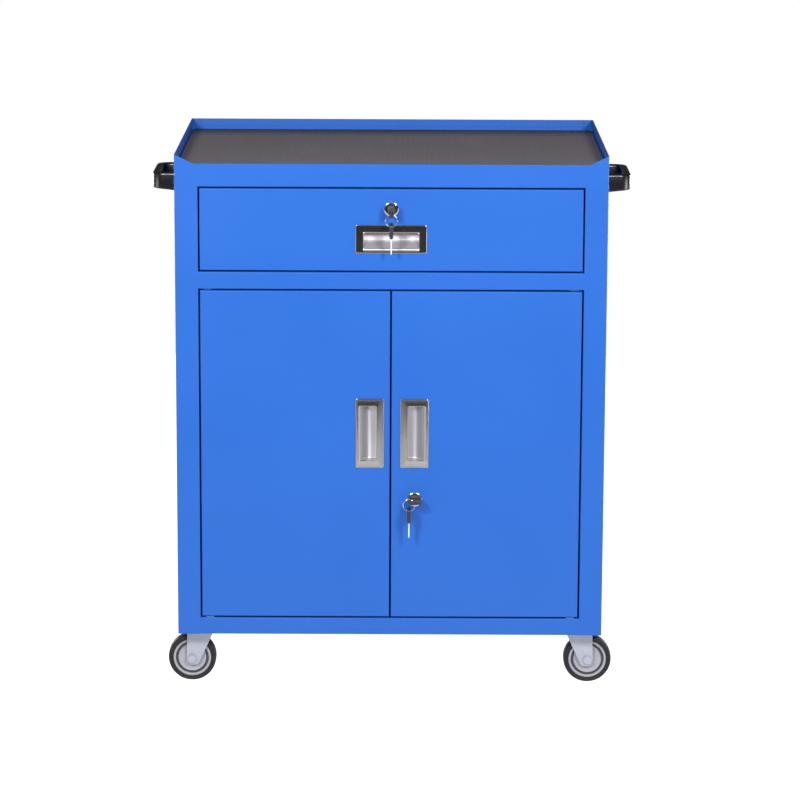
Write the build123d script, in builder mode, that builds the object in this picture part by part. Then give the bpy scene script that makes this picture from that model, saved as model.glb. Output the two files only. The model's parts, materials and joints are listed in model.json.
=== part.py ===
from build123d import *
import os

os.makedirs("parts", exist_ok=True)

# A steel tool chest on four swivel casters: one drawer on telescopic slides over a cupboard
# with two doors, an open tray on top.
# +Z is up, +Y points to the back, +X to the right. The floor is z = 0.

# ------------------------------------------------------------------ driving sizes, mm
# Cabinet
cabinet_width = 680.0
cabinet_depth = 465.0
bottom_rail_height = 27.4
door_opening_height = 534.9
middle_rail_height = 27.4
drawer_opening_height = 134.6
top_rail_height = 36.7
post_width = 36.6  # front posts, from the cabinet's side to the opening
rim_rise = 13.6  # the side and back rims stand this far above the front lip
rim_slope_run = 28.0  # the post's top edge slopes down over this width
sheet = 1.2
bend_radius = 2.0  # outside radius of a fold
hem_height = 12.0
jamb_depth = 20.0  # the posts' returns beside the openings
rail_return = 30.0  # the returns that the door pins and the floor pan use
skirt_return = 10.0
rear_flange = 15.0
hem_gap = 1.0  # the back panel's hem to the side panels' rear folds

# Top tray
tray_recess = 5.4  # tray surface below the front lip
tray_flange = 18.0
mat_thickness = 2.4
mat_inset = 1.2

# Floor and shelf
caster_recess = 9.4  # the caster plates are bolted this far up inside the skirt
caster_flange = 75.0  # width of the folded edges that the casters bolt to
shelf_height = 386.0
shelf_flange = 18.0
shelf_setback = 45.0
shelf_side_gap = 2.8
shelf_back_gap = 8.0
pan_front_gap = 1.0  # floor pan and slide brackets behind the jambs
clip_width = 14.0
clip_height = 22.0
clip_reach = 11.0
clip_thickness = 1.6
clip_inset = 60.0

# Drawer and door panels
panel_gap = 2.4
panel_depth = 18.0
panel_lip = 12.0

# Drawer box and slides
box_sheet = 1.0
box_top_clearance = 18.0  # below the top of the drawer opening
box_back_gap = 33.8  # box to the pan's back edge
box_floor_clearance = 6.0
box_lock_play = 1.0
slide_back_gap = 37.8  # slides to the pan's back edge
slide_setback = 4.0  # from the jamb's back edge
slide_stack = 12.7  # thickness of the three members together
slide_clearance = 0.3
slide_height = 45.0
slide_rise = 59.0  # slide centre above the middle rail
slide_sheet = 1.2
middle_member_height = 37.0
inner_member_height = 27.0
member_play = 1.0
bracket_height = 60.0

# Recessed pulls
pull_length = 112.0
pull_width = 45.0
pull_plate = 1.6
pull_corner = 2.0
pull_narrow_margin = 5.0
pull_wide_margin = 12.0
pull_window_length = 88.0
pull_undercut = 8.0  # the finger space behind the wide margin
pull_wall = 1.2
pull_back_gap = 2.5  # cup to the panel's back
pull_lip = 1.2
cutout_clearance = 0.5
drawer_pull_drop = 81.6  # below the top of the drawer opening
door_pull_drop = 231.2  # below the top of the door opening
left_pull_inset = 33.0  # from the middle of the cabinet
right_pull_inset = 38.0

# Locks
bezel_radius = 11.5
bezel_height = 3.5
bezel_round = 1.4
lock_body_radius = 9.4
cam_standoff = 5.0  # cam behind the drawer box's front
lock_nut_radius = 13.0
lock_nut_height = 3.0
plug_radius = 6.0
plug_recess = 0.6
plug_fit = 0.05
plug_boss_radius = 4.0
plug_head_radius = 6.5
plug_head_height = 2.0
cam_gap = 0.3
cam_length = 46.0
cam_width = 13.0
cam_thickness = 1.8
drawer_lock_drop = 33.6  # below the top of the drawer opening
door_lock_drop = 338.0  # below the top of the door opening
door_lock_inset = 39.0

# Keys and split rings
bow_length = 24.0
bow_width = 22.0
bow_thickness = 6.0
bow_corner = 5.0
bow_gap = 2.0  # between the bezel and the bow
slot_length = 15.0
slot_width = 5.0
slot_edge = 4.0  # bow left between the slot and its end
blade_length = 26.0
blade_width = 7.6
blade_thickness = 1.8
blade_tip = 3.0
blade_cuts = (1.6, 0.8, 2.0, 1.2)  # depths of the cuts, from the bow to the tip
keyway_clearance = 0.3
ring_radius = 9.5  # to the middle of the wire
wire_radius = 0.9
wire_clearance = 0.6

# Door pivots and catches
pivot_inset = 12.0  # pin axis from the door's edge
pivot_depth = 7.4  # pin axis behind the front face
pin_radius = 3.0
pin_head_radius = 5.0
pin_head_height = 2.0
pin_end = 0.5  # pin past the end of its bush
bush_radius = 5.0
bush_collar_radius = 8.0
collar_gap = 0.2  # lower collar to the door's edge
upper_collar = 0.8
bush_depth = 3.0
pin_fit = 0.05
catch_width = 40.0
catch_depth = 11.0
catch_height = 17.0
catch_inset = 45.0
catch_gap = 0.4

# Side handles
handle_length = 132.0
handle_standout = 46.0
handle_height = 30.0
handle_grip = 13.0
handle_arm = 17.0
handle_drop = 49.6  # top of the handle below the rim
handle_setback = 155.0
handle_undercut = 4.0  # the underside rises this much towards the grip
handle_corner = 18.0
handle_inner_corner = 7.0
handle_round = 3.0
handle_screw_radius = 2.5
handle_screw_length = 14.0
screw_head_radius = 4.6
screw_head_height = 3.0

# Casters
wheel_radius = 38.6
tyre_thickness = 8.0
tyre_width = 24.0
tyre_round = 4.5
rim_band = 4.5
rim_width = 23.0
groove_band = 3.8
groove_width = 12.0
hub_width = 25.0
axle_radius = 4.0
axle_fit = 0.05
axle_head = 6.5
axle_head_height = 4.5
fork_sheet = 2.5
fork_play = 2.5
crown_gap = 9.8  # plate's underside to the underside of the fork's crown
crown_inner_reach = 25.0
crown_outer_reach = 27.5
leg_inner_reach = 16.0
leg_foot_radius = 11.0
leg_foot_shift = 2.5
race_radius = 19.0
race_gap = 0.3
race_height = 3.8
trail = 20.0
caster_setback = 49.0  # swivel axis from the front and from the back
swivel_inset = 40.0  # swivel axis from the cabinet's side
plate_size = 54.0
plate_thickness = 2.5
plate_corner = 5.0
bolt_spacing = 40.0
bolt_radius = 3.0
bolt_head_width = 10.0
bolt_head_height = 4.0
bolt_length = 11.5
nut_height = 5.0
king_pin_radius = 5.0
king_pin_fit = 0.05
king_pin_head = 8.5
king_pin_head_height = 3.0
king_pin_hole_gap = 1.0
wheel_headroom = 5.2  # tyre to the king pin's head
king_pin_top = 1.2

over = 1.0  # cutting solids run this far past a face

# ------------------------------------------------------------------ worked-out places
key_standout = bezel_height + bow_gap + bow_length - slot_edge - slot_width / 2 + bow_width / 2
front_y = key_standout - (cabinet_depth + key_standout) / 2
back_y = front_y + cabinet_depth
half_width = cabinet_width / 2
half_opening = half_width - post_width
side_inner = half_width - sheet
back_inner = back_y - sheet
flange_inner = back_inner - sheet
pan_back = flange_inner - (bend_radius - sheet)  # clear of the side panels' rear folds

king_pin_low = 2 * wheel_radius + wheel_headroom + king_pin_head_height
crown_under = king_pin_low + race_gap
crown_top = crown_under + fork_sheet
plate_under = crown_under + crown_gap
caster_flange_z = plate_under + plate_thickness
skirt_bottom = caster_flange_z - caster_recess

bottom_rail_top = skirt_bottom + bottom_rail_height
door_opening_top = bottom_rail_top + door_opening_height
middle_rail_top = door_opening_top + middle_rail_height
drawer_opening_top = middle_rail_top + drawer_opening_height
lip_top = drawer_opening_top + top_rail_height
rim_top = lip_top + rim_rise
tray_z = lip_top - tray_recess
floor_top = bottom_rail_top - sheet
jamb_back = front_y + jamb_depth

front = Plane.XZ.offset(-front_y)  # local x is +X, local y is +Z, the normal points out
section = Plane.YZ  # local x is +Y, local y is +Z


def folded(*points):
    """Face of a folded sheet: its outer face follows the points, the metal is on the left."""
    with BuildLine() as outline:
        FilletPolyline(*points, radius=bend_radius)
        offset(amount=sheet, side=Side.LEFT)
    return make_face(outline.edges())


def rectangle_points(left, right, low, high):
    """Corners of an upright rectangle."""
    return [(left, low), (right, low), (right, high), (left, high)]


# ------------------------------------------------------------------ side panels
handle_screw_y = [
    front_y + handle_setback + handle_arm / 2,
    front_y + handle_setback + handle_length - handle_arm / 2,
]
handle_mid_z = rim_top - handle_drop - handle_height / 2
handle_screw_points = [(y, handle_mid_z) for y in handle_screw_y]

for side, sign in (("left", -1), ("right", 1)):
    with BuildPart() as side_panel:
        with BuildSketch(Plane.XY.offset(skirt_bottom)):
            add(
                folded(
                    (half_opening, jamb_back),
                    (half_opening, front_y),
                    (half_width, front_y),
                    (half_width, back_inner),
                    (half_width - rear_flange, back_inner),
                )
            )
        extrude(amount=rim_top - skirt_bottom)
        # hem along the rim
        with BuildSketch(Plane.XY.offset(rim_top - hem_height)):
            with BuildLine():
                Polyline(
                    *rectangle_points(side_inner - sheet, side_inner, front_y + sheet, flange_inner),
                    close=True,
                )
            make_face()
        extrude(amount=hem_height)
        # sloping top of the post, level with the front lip at the opening
        with BuildSketch(front.offset(over)):
            with BuildLine():
                Polyline(
                    (side_inner, rim_top + over),
                    (side_inner, rim_top),
                    (side_inner - rim_slope_run, lip_top),
                    (half_opening - over, lip_top),
                    (half_opening - over, rim_top + over),
                    close=True,
                )
            make_face()
        extrude(amount=-(sheet + over), mode=Mode.SUBTRACT)
        # the return beside the opening stops under the tray
        with BuildSketch(Plane.XY.offset(tray_z - sheet - tray_flange)):
            with BuildLine():
                Polyline(
                    *rectangle_points(
                        half_opening - over, side_inner - 2 * sheet, front_y + sheet, jamb_back + over
                    ),
                    close=True,
                )
            make_face()
        extrude(amount=rim_top, mode=Mode.SUBTRACT)
        # handle screw holes
        with BuildSketch(section.offset(side_inner - over)):
            with Locations(*handle_screw_points):
                Circle(handle_screw_radius)
        extrude(amount=sheet + 2 * over, mode=Mode.SUBTRACT)
        if sign < 0:
            mirror(about=Plane.YZ, mode=Mode.REPLACE)
    side_panel.part.label = f"side_panel_{side}"
    export_step(side_panel.part, f"parts/side_panel_{side}.step")

# ------------------------------------------------------------------ back panel
with BuildPart() as back_panel:
    with BuildSketch(front.offset(-(cabinet_depth - sheet))):
        with BuildLine():
            Polyline(*rectangle_points(-half_width, half_width, skirt_bottom, rim_top), close=True)
        make_face()
    extrude(amount=-sheet)
    hem_half = half_width - rear_flange - hem_gap
    with BuildSketch(front.offset(-(cabinet_depth - 2 * sheet))):
        with BuildLine():
            Polyline(*rectangle_points(-hem_half, hem_half, rim_top - hem_height, rim_top), close=True)
        make_face()
    extrude(amount=-sheet)
back_panel.part.label = "back_panel"
export_step(back_panel.part, "parts/back_panel.step")

# ------------------------------------------------------------------ front rails
with BuildPart() as top_rail:
    with BuildSketch(section):
        add(folded((front_y, lip_top), (front_y, drawer_opening_top), (jamb_back, drawer_opening_top)))
        with BuildLine():
            Polyline(
                *rectangle_points(front_y + sheet, front_y + 2 * sheet, lip_top - hem_height, lip_top),
                close=True,
            )
        make_face()
    extrude(amount=half_opening, both=True)
    lip_edges = top_rail.faces().sort_by(Axis.Z)[-1].edges().filter_by(Axis.X)
    fillet(lip_edges, radius=sheet * 0.8)
top_rail.part.label = "top_rail"
export_step(top_rail.part, "parts/top_rail.step")

pivot_x = half_opening - panel_gap - pivot_inset
pivot_y = front_y + pivot_depth
pivot_points = [(-pivot_x, pivot_y), (pivot_x, pivot_y)]

with BuildPart() as middle_rail:
    with BuildSketch(section):
        add(
            folded(
                (jamb_back, middle_rail_top),
                (front_y, middle_rail_top),
                (front_y, door_opening_top),
                (front_y + rail_return, door_opening_top),
            )
        )
    extrude(amount=half_opening, both=True)
    with BuildSketch(Plane.XY.offset(door_opening_top - over)):
        with Locations(*pivot_points):
            Circle(bush_radius)
    extrude(amount=sheet + 2 * over, mode=Mode.SUBTRACT)
middle_rail.part.label = "middle_rail"
export_step(middle_rail.part, "parts/middle_rail.step")

with BuildPart() as bottom_rail:
    with BuildSketch(section):
        add(
            folded(
                (front_y + rail_return, bottom_rail_top),
                (front_y, bottom_rail_top),
                (front_y, skirt_bottom),
                (front_y + skirt_return, skirt_bottom),
            )
        )
    extrude(amount=half_opening, both=True)
    with BuildSketch(Plane.XY.offset(bottom_rail_top + over)):
        with Locations(*pivot_points):
            Circle(bush_radius)
    extrude(amount=-(sheet + 2 * over), mode=Mode.SUBTRACT)
bottom_rail.part.label = "bottom_rail"
export_step(bottom_rail.part, "parts/bottom_rail.step")

# ------------------------------------------------------------------ top tray and its mat
tray_front = front_y + 2 * sheet
tray_mid_y = (tray_front + pan_back) / 2
tray_length = pan_back - tray_front

with BuildPart() as tray_pan:
    with BuildSketch(Plane.XY.offset(tray_z)):
        with Locations((0, tray_mid_y)):
            Rectangle(2 * side_inner, tray_length)
    extrude(amount=-(sheet + tray_flange))
    offset(amount=-sheet, openings=tray_pan.faces().sort_by(Axis.Z)[0])
tray_pan.part.label = "tray_pan"
export_step(tray_pan.part, "parts/tray_pan.step")

with BuildPart() as tray_mat:
    with BuildSketch(Plane.XY.offset(tray_z)):
        with Locations((0, tray_mid_y)):
            Rectangle(2 * (side_inner - sheet - mat_inset), tray_length - 2 * mat_inset)
    extrude(amount=mat_thickness)
tray_mat.part.label = "tray_mat"
export_step(tray_mat.part, "parts/tray_mat.step")

# ------------------------------------------------------------------ floor pan
floor_front = jamb_back + pan_front_gap
floor_mid_y = (floor_front + pan_back) / 2
floor_length = pan_back - floor_front
caster_x = half_width - swivel_inset
caster_ys = [front_y + caster_setback, back_y - caster_setback]
caster_points = [(sign * caster_x, y) for sign in (-1, 1) for y in caster_ys]

with BuildPart() as floor_pan:
    with BuildSketch(Plane.XZ.offset(-floor_mid_y)):
        add(
            folded(
                (side_inner - caster_flange, caster_flange_z),
                (side_inner, caster_flange_z),
                (side_inner, floor_top),
                (-side_inner, floor_top),
                (-side_inner, caster_flange_z),
                (caster_flange - side_inner, caster_flange_z),
            )
        )
    extrude(amount=floor_length / 2, both=True)
    with BuildSketch(Plane.XY.offset(caster_flange_z - over)):
        with Locations(*caster_points):
            Circle(king_pin_head + king_pin_hole_gap)
            with GridLocations(bolt_spacing, bolt_spacing, 2, 2):
                Circle(bolt_radius)
    extrude(amount=sheet + 2 * over, mode=Mode.SUBTRACT)
floor_pan.part.label = "floor_pan"
export_step(floor_pan.part, "parts/floor_pan.step")

# ------------------------------------------------------------------ shelf and its clips
shelf_half = side_inner - shelf_side_gap
shelf_front = front_y + shelf_setback
shelf_back = pan_back - shelf_back_gap
clip_ys = [shelf_front + clip_inset, shelf_back - clip_inset]

with BuildPart() as shelf:
    with BuildSketch(Plane.XY.offset(shelf_height)):
        with Locations((0, (shelf_front + shelf_back) / 2)):
            Rectangle(2 * shelf_half, shelf_back - shelf_front)
    extrude(amount=-shelf_flange)
    fillet(shelf.edges().group_by(Axis.Z)[-1], radius=bend_radius)
    offset(amount=-sheet, openings=shelf.faces().sort_by(Axis.Z)[0])
shelf.part.label = "shelf"
export_step(shelf.part, "parts/shelf.step")

with BuildPart() as shelf_clips:
    clip_top = shelf_height - shelf_flange
    for sign in (-1, 1):
        for clip_y in clip_ys:
            with BuildSketch(Plane.XZ.offset(-clip_y)):
                with BuildLine():
                    Polyline(
                        (sign * side_inner, clip_top),
                        (sign * (side_inner - clip_reach), clip_top),
                        (sign * (side_inner - clip_reach), clip_top - clip_thickness),
                        (sign * (side_inner - clip_thickness), clip_top - clip_thickness),
                        (sign * (side_inner - clip_thickness), clip_top - clip_height),
                        (sign * side_inner, clip_top - clip_height),
                        close=True,
                    )
                make_face()
            extrude(amount=clip_width / 2, both=True)
shelf_clips.part.label = "shelf_clips"
export_step(shelf_clips.part, "parts/shelf_clips.step")

# ------------------------------------------------------------------ drawer slides and channels
slide_front = jamb_back + slide_setback
slide_length = pan_back - slide_back_gap - slide_front
slide_mid_y = slide_front + slide_length / 2
slide_z = middle_rail_top + slide_rise
slide_face = half_opening - slide_clearance  # where the outer members are screwed on
box_half = slide_face - slide_stack
outer_half = slide_height / 2
middle_half = middle_member_height / 2
inner_half = inner_member_height / 2


def channel_points(web, lip, half_height, thickness):
    """C section with its web at one x and its legs reaching to another."""
    inward = thickness if lip > web else -thickness
    return [
        (web, slide_z - half_height),
        (lip, slide_z - half_height),
        (lip, slide_z - half_height + thickness),
        (web + inward, slide_z - half_height + thickness),
        (web + inward, slide_z + half_height - thickness),
        (lip, slide_z + half_height - thickness),
        (lip, slide_z + half_height),
        (web, slide_z + half_height),
    ]


def channel_pair(web, lip, half_height, thickness, mid_y, length):
    """The same C section on the left and on the right, along the depth."""
    with BuildPart() as pair:
        with BuildSketch(Plane.XZ.offset(-mid_y)):
            with BuildLine():
                Polyline(*channel_points(web, lip, half_height, thickness), close=True)
            make_face()
        extrude(amount=length / 2, both=True)
        mirror(about=Plane.YZ)
    return pair.part


bracket_front = jamb_back + pan_front_gap
with BuildPart() as drawer_slide_brackets:
    add(
        channel_pair(
            slide_face,
            side_inner,
            bracket_height / 2,
            sheet,
            (bracket_front + pan_back) / 2,
            pan_back - bracket_front,
        )
    )
drawer_slide_brackets.part.label = "drawer_slide_brackets"
export_step(drawer_slide_brackets.part, "parts/drawer_slide_brackets.step")

outer_lip = box_half + slide_sheet + member_play
with BuildPart() as drawer_slide_outers:
    add(channel_pair(slide_face, outer_lip, outer_half, slide_sheet, slide_mid_y, slide_length))
drawer_slide_outers.part.label = "drawer_slide_outers"
export_step(drawer_slide_outers.part, "parts/drawer_slide_outers.step")

middle_web = slide_face - slide_sheet - 3 * member_play
with BuildPart() as drawer_slide_middles:
    add(channel_pair(middle_web, outer_lip, middle_half, slide_sheet, slide_mid_y, slide_length))
drawer_slide_middles.part.label = "drawer_slide_middles"
export_step(drawer_slide_middles.part, "parts/drawer_slide_middles.step")

inner_lip = middle_web - slide_sheet - member_play
with BuildPart() as drawer_slide_inners:
    add(channel_pair(box_half, inner_lip, inner_half, slide_sheet, slide_mid_y, slide_length))
drawer_slide_inners.part.label = "drawer_slide_inners"
export_step(drawer_slide_inners.part, "parts/drawer_slide_inners.step")

# ------------------------------------------------------------------ side handles
handle_low = rim_top - handle_drop - handle_height
handle_y0 = front_y + handle_setback
handle_y1 = handle_y0 + handle_length
handle_outer = half_width + handle_standout

for side, sign in (("left", -1), ("right", 1)):
    with BuildPart() as side_handle:
        with BuildSketch(Plane.XY.offset(handle_low)) as handle_plan:
            with BuildLine():
                Polyline(*rectangle_points(half_width, handle_outer, handle_y0, handle_y1), close=True)
            make_face()
            fillet(handle_plan.vertices().group_by(Axis.X)[-1], radius=handle_corner)
        extrude(amount=handle_height)
        # underside slopes up towards the grip
        with BuildSketch(Plane.XZ.offset(-handle_y0 + over)):
            with BuildLine():
                Polyline(
                    (half_width, handle_low),
                    (handle_outer, handle_low + handle_undercut),
                    (handle_outer, handle_low - over),
                    (half_width, handle_low - over),
                    close=True,
                )
            make_face()
        extrude(amount=-(handle_length + 2 * over), mode=Mode.SUBTRACT)
        outer_edges = side_handle.edges().filter_by_position(
            Axis.X, half_width + over, handle_outer + over, inclusive=(False, True)
        )
        rounded = [edge for edge in outer_edges if abs(edge.tangent_at(0.5).Z) < 0.5]
        fillet(rounded, radius=handle_round)
        # finger space
        with BuildSketch(Plane.XY.offset(handle_low - over)) as finger_plan:
            with BuildLine():
                Polyline(
                    *rectangle_points(
                        half_width - over,
                        handle_outer - handle_grip,
                        handle_y0 + handle_arm,
                        handle_y1 - handle_arm,
                    ),
                    close=True,
                )
            make_face()
            fillet(finger_plan.vertices().group_by(Axis.X)[-1], radius=handle_inner_corner)
        extrude(amount=handle_height + 2 * over, mode=Mode.SUBTRACT)
        # blind holes for the screws
        with BuildSketch(section.offset(half_width)):
            with Locations(*handle_screw_points):
                Circle(handle_screw_radius)
        extrude(amount=handle_screw_length - sheet, mode=Mode.SUBTRACT)
        if sign < 0:
            mirror(about=Plane.YZ, mode=Mode.REPLACE)
    side_handle.part.label = f"side_handle_{side}"
    export_step(side_handle.part, f"parts/side_handle_{side}.step")

with BuildPart() as handle_screws:
    with BuildSketch(section.offset(side_inner)):
        with Locations(*handle_screw_points):
            Circle(screw_head_radius)
    extrude(amount=-screw_head_height)
    with BuildSketch(section.offset(side_inner)):
        with Locations(*handle_screw_points):
            Circle(handle_screw_radius)
    extrude(amount=handle_screw_length)
    mirror(about=Plane.YZ)
handle_screws.part.label = "handle_screws"
export_step(handle_screws.part, "parts/handle_screws.step")

# ------------------------------------------------------------------ panels
door_low = bottom_rail_top + panel_gap
door_high = door_opening_top - panel_gap
door_outer = half_opening - panel_gap
door_inner = panel_gap / 2
drawer_low = middle_rail_top + panel_gap
drawer_high = drawer_opening_top - panel_gap

pull_depth = panel_depth - pull_back_gap
window_low = pull_narrow_margin - pull_width / 2
window_high = pull_width / 2 - pull_wide_margin
cup_low = window_low - pull_wall
cup_high = window_high + pull_undercut + pull_wall
cup_length = pull_window_length + 2 * pull_wall
cup_mid = (cup_low + cup_high) / 2

drawer_pull_place = Plane(
    (0, front_y, drawer_opening_top - drawer_pull_drop), x_dir=(0, 0, 1), z_dir=(0, -1, 0)
)
left_pull_place = Plane(
    (-left_pull_inset, front_y, door_opening_top - door_pull_drop), x_dir=(1, 0, 0), z_dir=(0, -1, 0)
)
right_pull_place = Plane(
    (right_pull_inset, front_y, door_opening_top - door_pull_drop), x_dir=(-1, 0, 0), z_dir=(0, -1, 0)
)
drawer_lock_place = Plane(
    (0, front_y, drawer_opening_top - drawer_lock_drop), x_dir=(1, 0, 0), z_dir=(0, -1, 0)
)
door_lock_place = Plane(
    (door_lock_inset, front_y, door_opening_top - door_lock_drop), x_dir=(1, 0, 0), z_dir=(0, -1, 0)
)


def panel_tray(left, right, low, high):
    """Shallow tray of folded sheet, open at the back, with a lip all round its back edge."""
    with BuildPart() as panel:
        with BuildSketch(front):
            with BuildLine():
                Polyline(*rectangle_points(left, right, low, high), close=True)
            make_face()
        extrude(amount=-panel_depth)
        fillet(panel.faces().sort_by(Axis.Y)[0].edges(), radius=bend_radius)
        offset(amount=-sheet, openings=panel.faces().sort_by(Axis.Y)[-1])
        with BuildSketch(front.offset(-panel_depth)):
            with BuildLine():
                Polyline(*rectangle_points(left, right, low, high), close=True)
            make_face()
            with BuildLine():
                Polyline(
                    *rectangle_points(
                        left + panel_lip, right - panel_lip, low + panel_lip, high - panel_lip
                    ),
                    close=True,
                )
            make_face(mode=Mode.SUBTRACT)
        extrude(amount=sheet)
    return panel.part


def pull_cutout(place):
    """Hole that the pull's cup passes through."""
    with BuildPart() as hole:
        with BuildSketch(place.offset(over)):
            with Locations((cup_mid, 0)):
                Rectangle(cup_high - cup_low + 2 * cutout_clearance, cup_length + 2 * cutout_clearance)
        extrude(amount=-(sheet + 2 * over))
    return hole.part


def lock_hole(place, depth):
    """Hole that the lock's body passes through."""
    with BuildPart() as hole:
        with BuildSketch(place.offset(over)):
            Circle(lock_body_radius)
        extrude(amount=-(depth + over))
    return hole.part


with BuildPart() as drawer_front:
    add(panel_tray(-door_outer, door_outer, drawer_low, drawer_high))
    add(pull_cutout(drawer_pull_place), mode=Mode.SUBTRACT)
    add(lock_hole(drawer_lock_place, sheet + over), mode=Mode.SUBTRACT)
drawer_front.part.label = "drawer_front"
export_step(drawer_front.part, "parts/drawer_front.step")

with BuildPart() as left_door_panel:
    add(panel_tray(-door_outer, -door_inner, door_low, door_high))
    add(pull_cutout(left_pull_place), mode=Mode.SUBTRACT)
    with BuildSketch(Plane.XY.offset(door_low - over)):
        with Locations((-pivot_x, pivot_y)):
            Circle(pin_radius)
    extrude(amount=door_high - door_low + 2 * over, mode=Mode.SUBTRACT)
left_door_panel.part.label = "left_door_panel"
export_step(left_door_panel.part, "parts/left_door_panel.step")

with BuildPart() as right_door_panel:
    add(panel_tray(door_inner, door_outer, door_low, door_high))
    add(pull_cutout(right_pull_place), mode=Mode.SUBTRACT)
    add(lock_hole(door_lock_place, sheet + over), mode=Mode.SUBTRACT)
    with BuildSketch(Plane.XY.offset(door_low - over)):
        with Locations((pivot_x, pivot_y)):
            Circle(pin_radius)
    extrude(amount=door_high - door_low + 2 * over, mode=Mode.SUBTRACT)
right_door_panel.part.label = "right_door_panel"
export_step(right_door_panel.part, "parts/right_door_panel.step")

# ------------------------------------------------------------------ drawer box
box_front = front_y + panel_depth
box_low = middle_rail_top + box_floor_clearance
box_height = drawer_opening_height - box_floor_clearance - box_top_clearance
box_depth = pan_back - box_back_gap - box_front

with BuildPart() as drawer_box:
    with BuildSketch(Plane.XY.offset(box_low)):
        with Locations((0, box_front + box_depth / 2)):
            Rectangle(2 * box_half, box_depth)
    extrude(amount=box_height)
    fillet(drawer_box.edges().filter_by(Axis.Z), radius=bend_radius)
    offset(amount=-box_sheet, openings=drawer_box.faces().sort_by(Axis.Z)[-1])
    with BuildSketch(drawer_lock_place):
        Circle(lock_body_radius + box_lock_play)
    extrude(amount=-(panel_depth + box_sheet + over), mode=Mode.SUBTRACT)
drawer_box.part.label = "drawer_box"
export_step(drawer_box.part, "parts/drawer_box.step")


# ------------------------------------------------------------------ recessed pulls
def recessed_pull(place):
    """Plate with a cup behind it; local +x is the side that the fingers hook behind."""
    with BuildPart() as pull:
        with BuildSketch(place):
            RectangleRounded(pull_width, pull_length, pull_corner)
        extrude(amount=pull_plate)
        outer_face = pull.faces().sort_by(Axis.Y)[0]
        fillet(outer_face.edges(), radius=pull_plate / 2)
        with BuildSketch(place):
            with Locations((cup_mid, 0)):
                Rectangle(cup_high - cup_low, cup_length)
        extrude(amount=-pull_depth)
        across = Plane(place.origin, x_dir=place.x_dir, z_dir=place.y_dir)
        with BuildSketch(across):
            with BuildLine():
                Polyline(
                    (window_low, -pull_plate - over),
                    (window_low, 0),
                    ((window_low + window_high) / 2, pull_depth - pull_wall),
                    (window_high + pull_undercut, pull_depth - pull_wall),
                    (window_high + pull_undercut, pull_lip),
                    (window_high, pull_lip),
                    (window_high, -pull_plate - over),
                    close=True,
                )
            make_face()
        extrude(amount=pull_window_length / 2, both=True, mode=Mode.SUBTRACT)
    return pull.part


for node, place in (
    ("drawer_pull", drawer_pull_place),
    ("left_door_pull", left_pull_place),
    ("right_door_pull", right_pull_place),
):
    with BuildPart() as pull:
        add(recessed_pull(place))
    pull.part.label = node
    export_step(pull.part, f"parts/{node}.step")


# ------------------------------------------------------------------ locks
lock_length = panel_depth + box_sheet + cam_standoff


def lock_body(place):
    """Threaded body with its bezel in front of the sheet and its nut behind."""
    with BuildPart() as body:
        with BuildSketch(place):
            Circle(bezel_radius)
        extrude(amount=bezel_height)
        fillet(body.edges().sort_by(Axis.Y)[0], radius=bezel_round)
        with BuildSketch(place):
            Circle(lock_body_radius)
        extrude(amount=-(lock_length - cam_gap))
        with BuildSketch(place.offset(-sheet)):
            RegularPolygon(lock_nut_radius, 6, major_radius=False)
        extrude(amount=-lock_nut_height)
        with BuildSketch(place.offset(bezel_height)):
            Circle(plug_radius + plug_fit)
        extrude(amount=-(bezel_height + lock_length), mode=Mode.SUBTRACT)
    return body.part


def lock_plug(place, upright):
    """Cylinder that the key turns; the keyway stands upright or lies flat."""
    keyway = (blade_thickness + 2 * keyway_clearance, blade_width + 2 * keyway_clearance)
    if not upright:
        keyway = keyway[::-1]
    face = place.offset(bezel_height - plug_recess)
    with BuildPart() as plug:
        with BuildSketch(place.offset(-lock_length)):
            Circle(plug_radius)
        extrude(amount=lock_length + bezel_height - plug_recess)
        with BuildSketch(place.offset(-lock_length)):
            Circle(plug_boss_radius)
        extrude(amount=-cam_thickness)
        with BuildSketch(place.offset(-(lock_length + cam_thickness))):
            Circle(plug_head_radius)
        extrude(amount=-plug_head_height)
        with BuildSketch(face):
            Rectangle(*keyway)
        extrude(amount=-blade_length, mode=Mode.SUBTRACT)
    return plug.part


def lock_cam(place, angle):
    """Flat bar on the plug's back end, pointing at the given angle seen from the front."""
    with BuildPart() as cam:
        with BuildSketch(place.offset(-lock_length)):
            with Locations(Location((0, 0, 0), (0, 0, angle))):
                with Locations((cam_length / 2 - cam_width / 2, 0)):
                    SlotOverall(cam_length, cam_width)
            Circle(plug_boss_radius, mode=Mode.SUBTRACT)
        extrude(amount=-cam_thickness)
    return cam.part


for name, place, upright, angle in (
    ("drawer_lock", drawer_lock_place, True, 0),
    ("door_lock", door_lock_place, False, 90),
):
    with BuildPart() as body:
        add(lock_body(place))
    body.part.label = f"{name}_body"
    export_step(body.part, f"parts/{name}_body.step")
    with BuildPart() as plug:
        add(lock_plug(place, upright))
    plug.part.label = f"{name}_plug"
    export_step(plug.part, f"parts/{name}_plug.step")
    with BuildPart() as cam:
        add(lock_cam(place, angle))
    cam.part.label = f"{name}_cam"
    export_step(cam.part, f"parts/{name}_cam.step")

# ------------------------------------------------------------------ keys and split rings
slot_middle = bow_length - slot_edge - slot_width / 2
bow_face_y = front_y - bezel_height - bow_gap
ring_y = bow_face_y - slot_middle
drawer_lock_z = drawer_lock_place.origin.Z
door_lock_z = door_lock_place.origin.Z
ring_drop = slot_length / 2 - wire_radius - wire_clearance  # upright key: wire below the axis
ring_side = (slot_length + bow_width) / 4  # flat key: middle of the bow's side edge
flat_ring_rise = bow_thickness / 2 + wire_radius + wire_clearance


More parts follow.
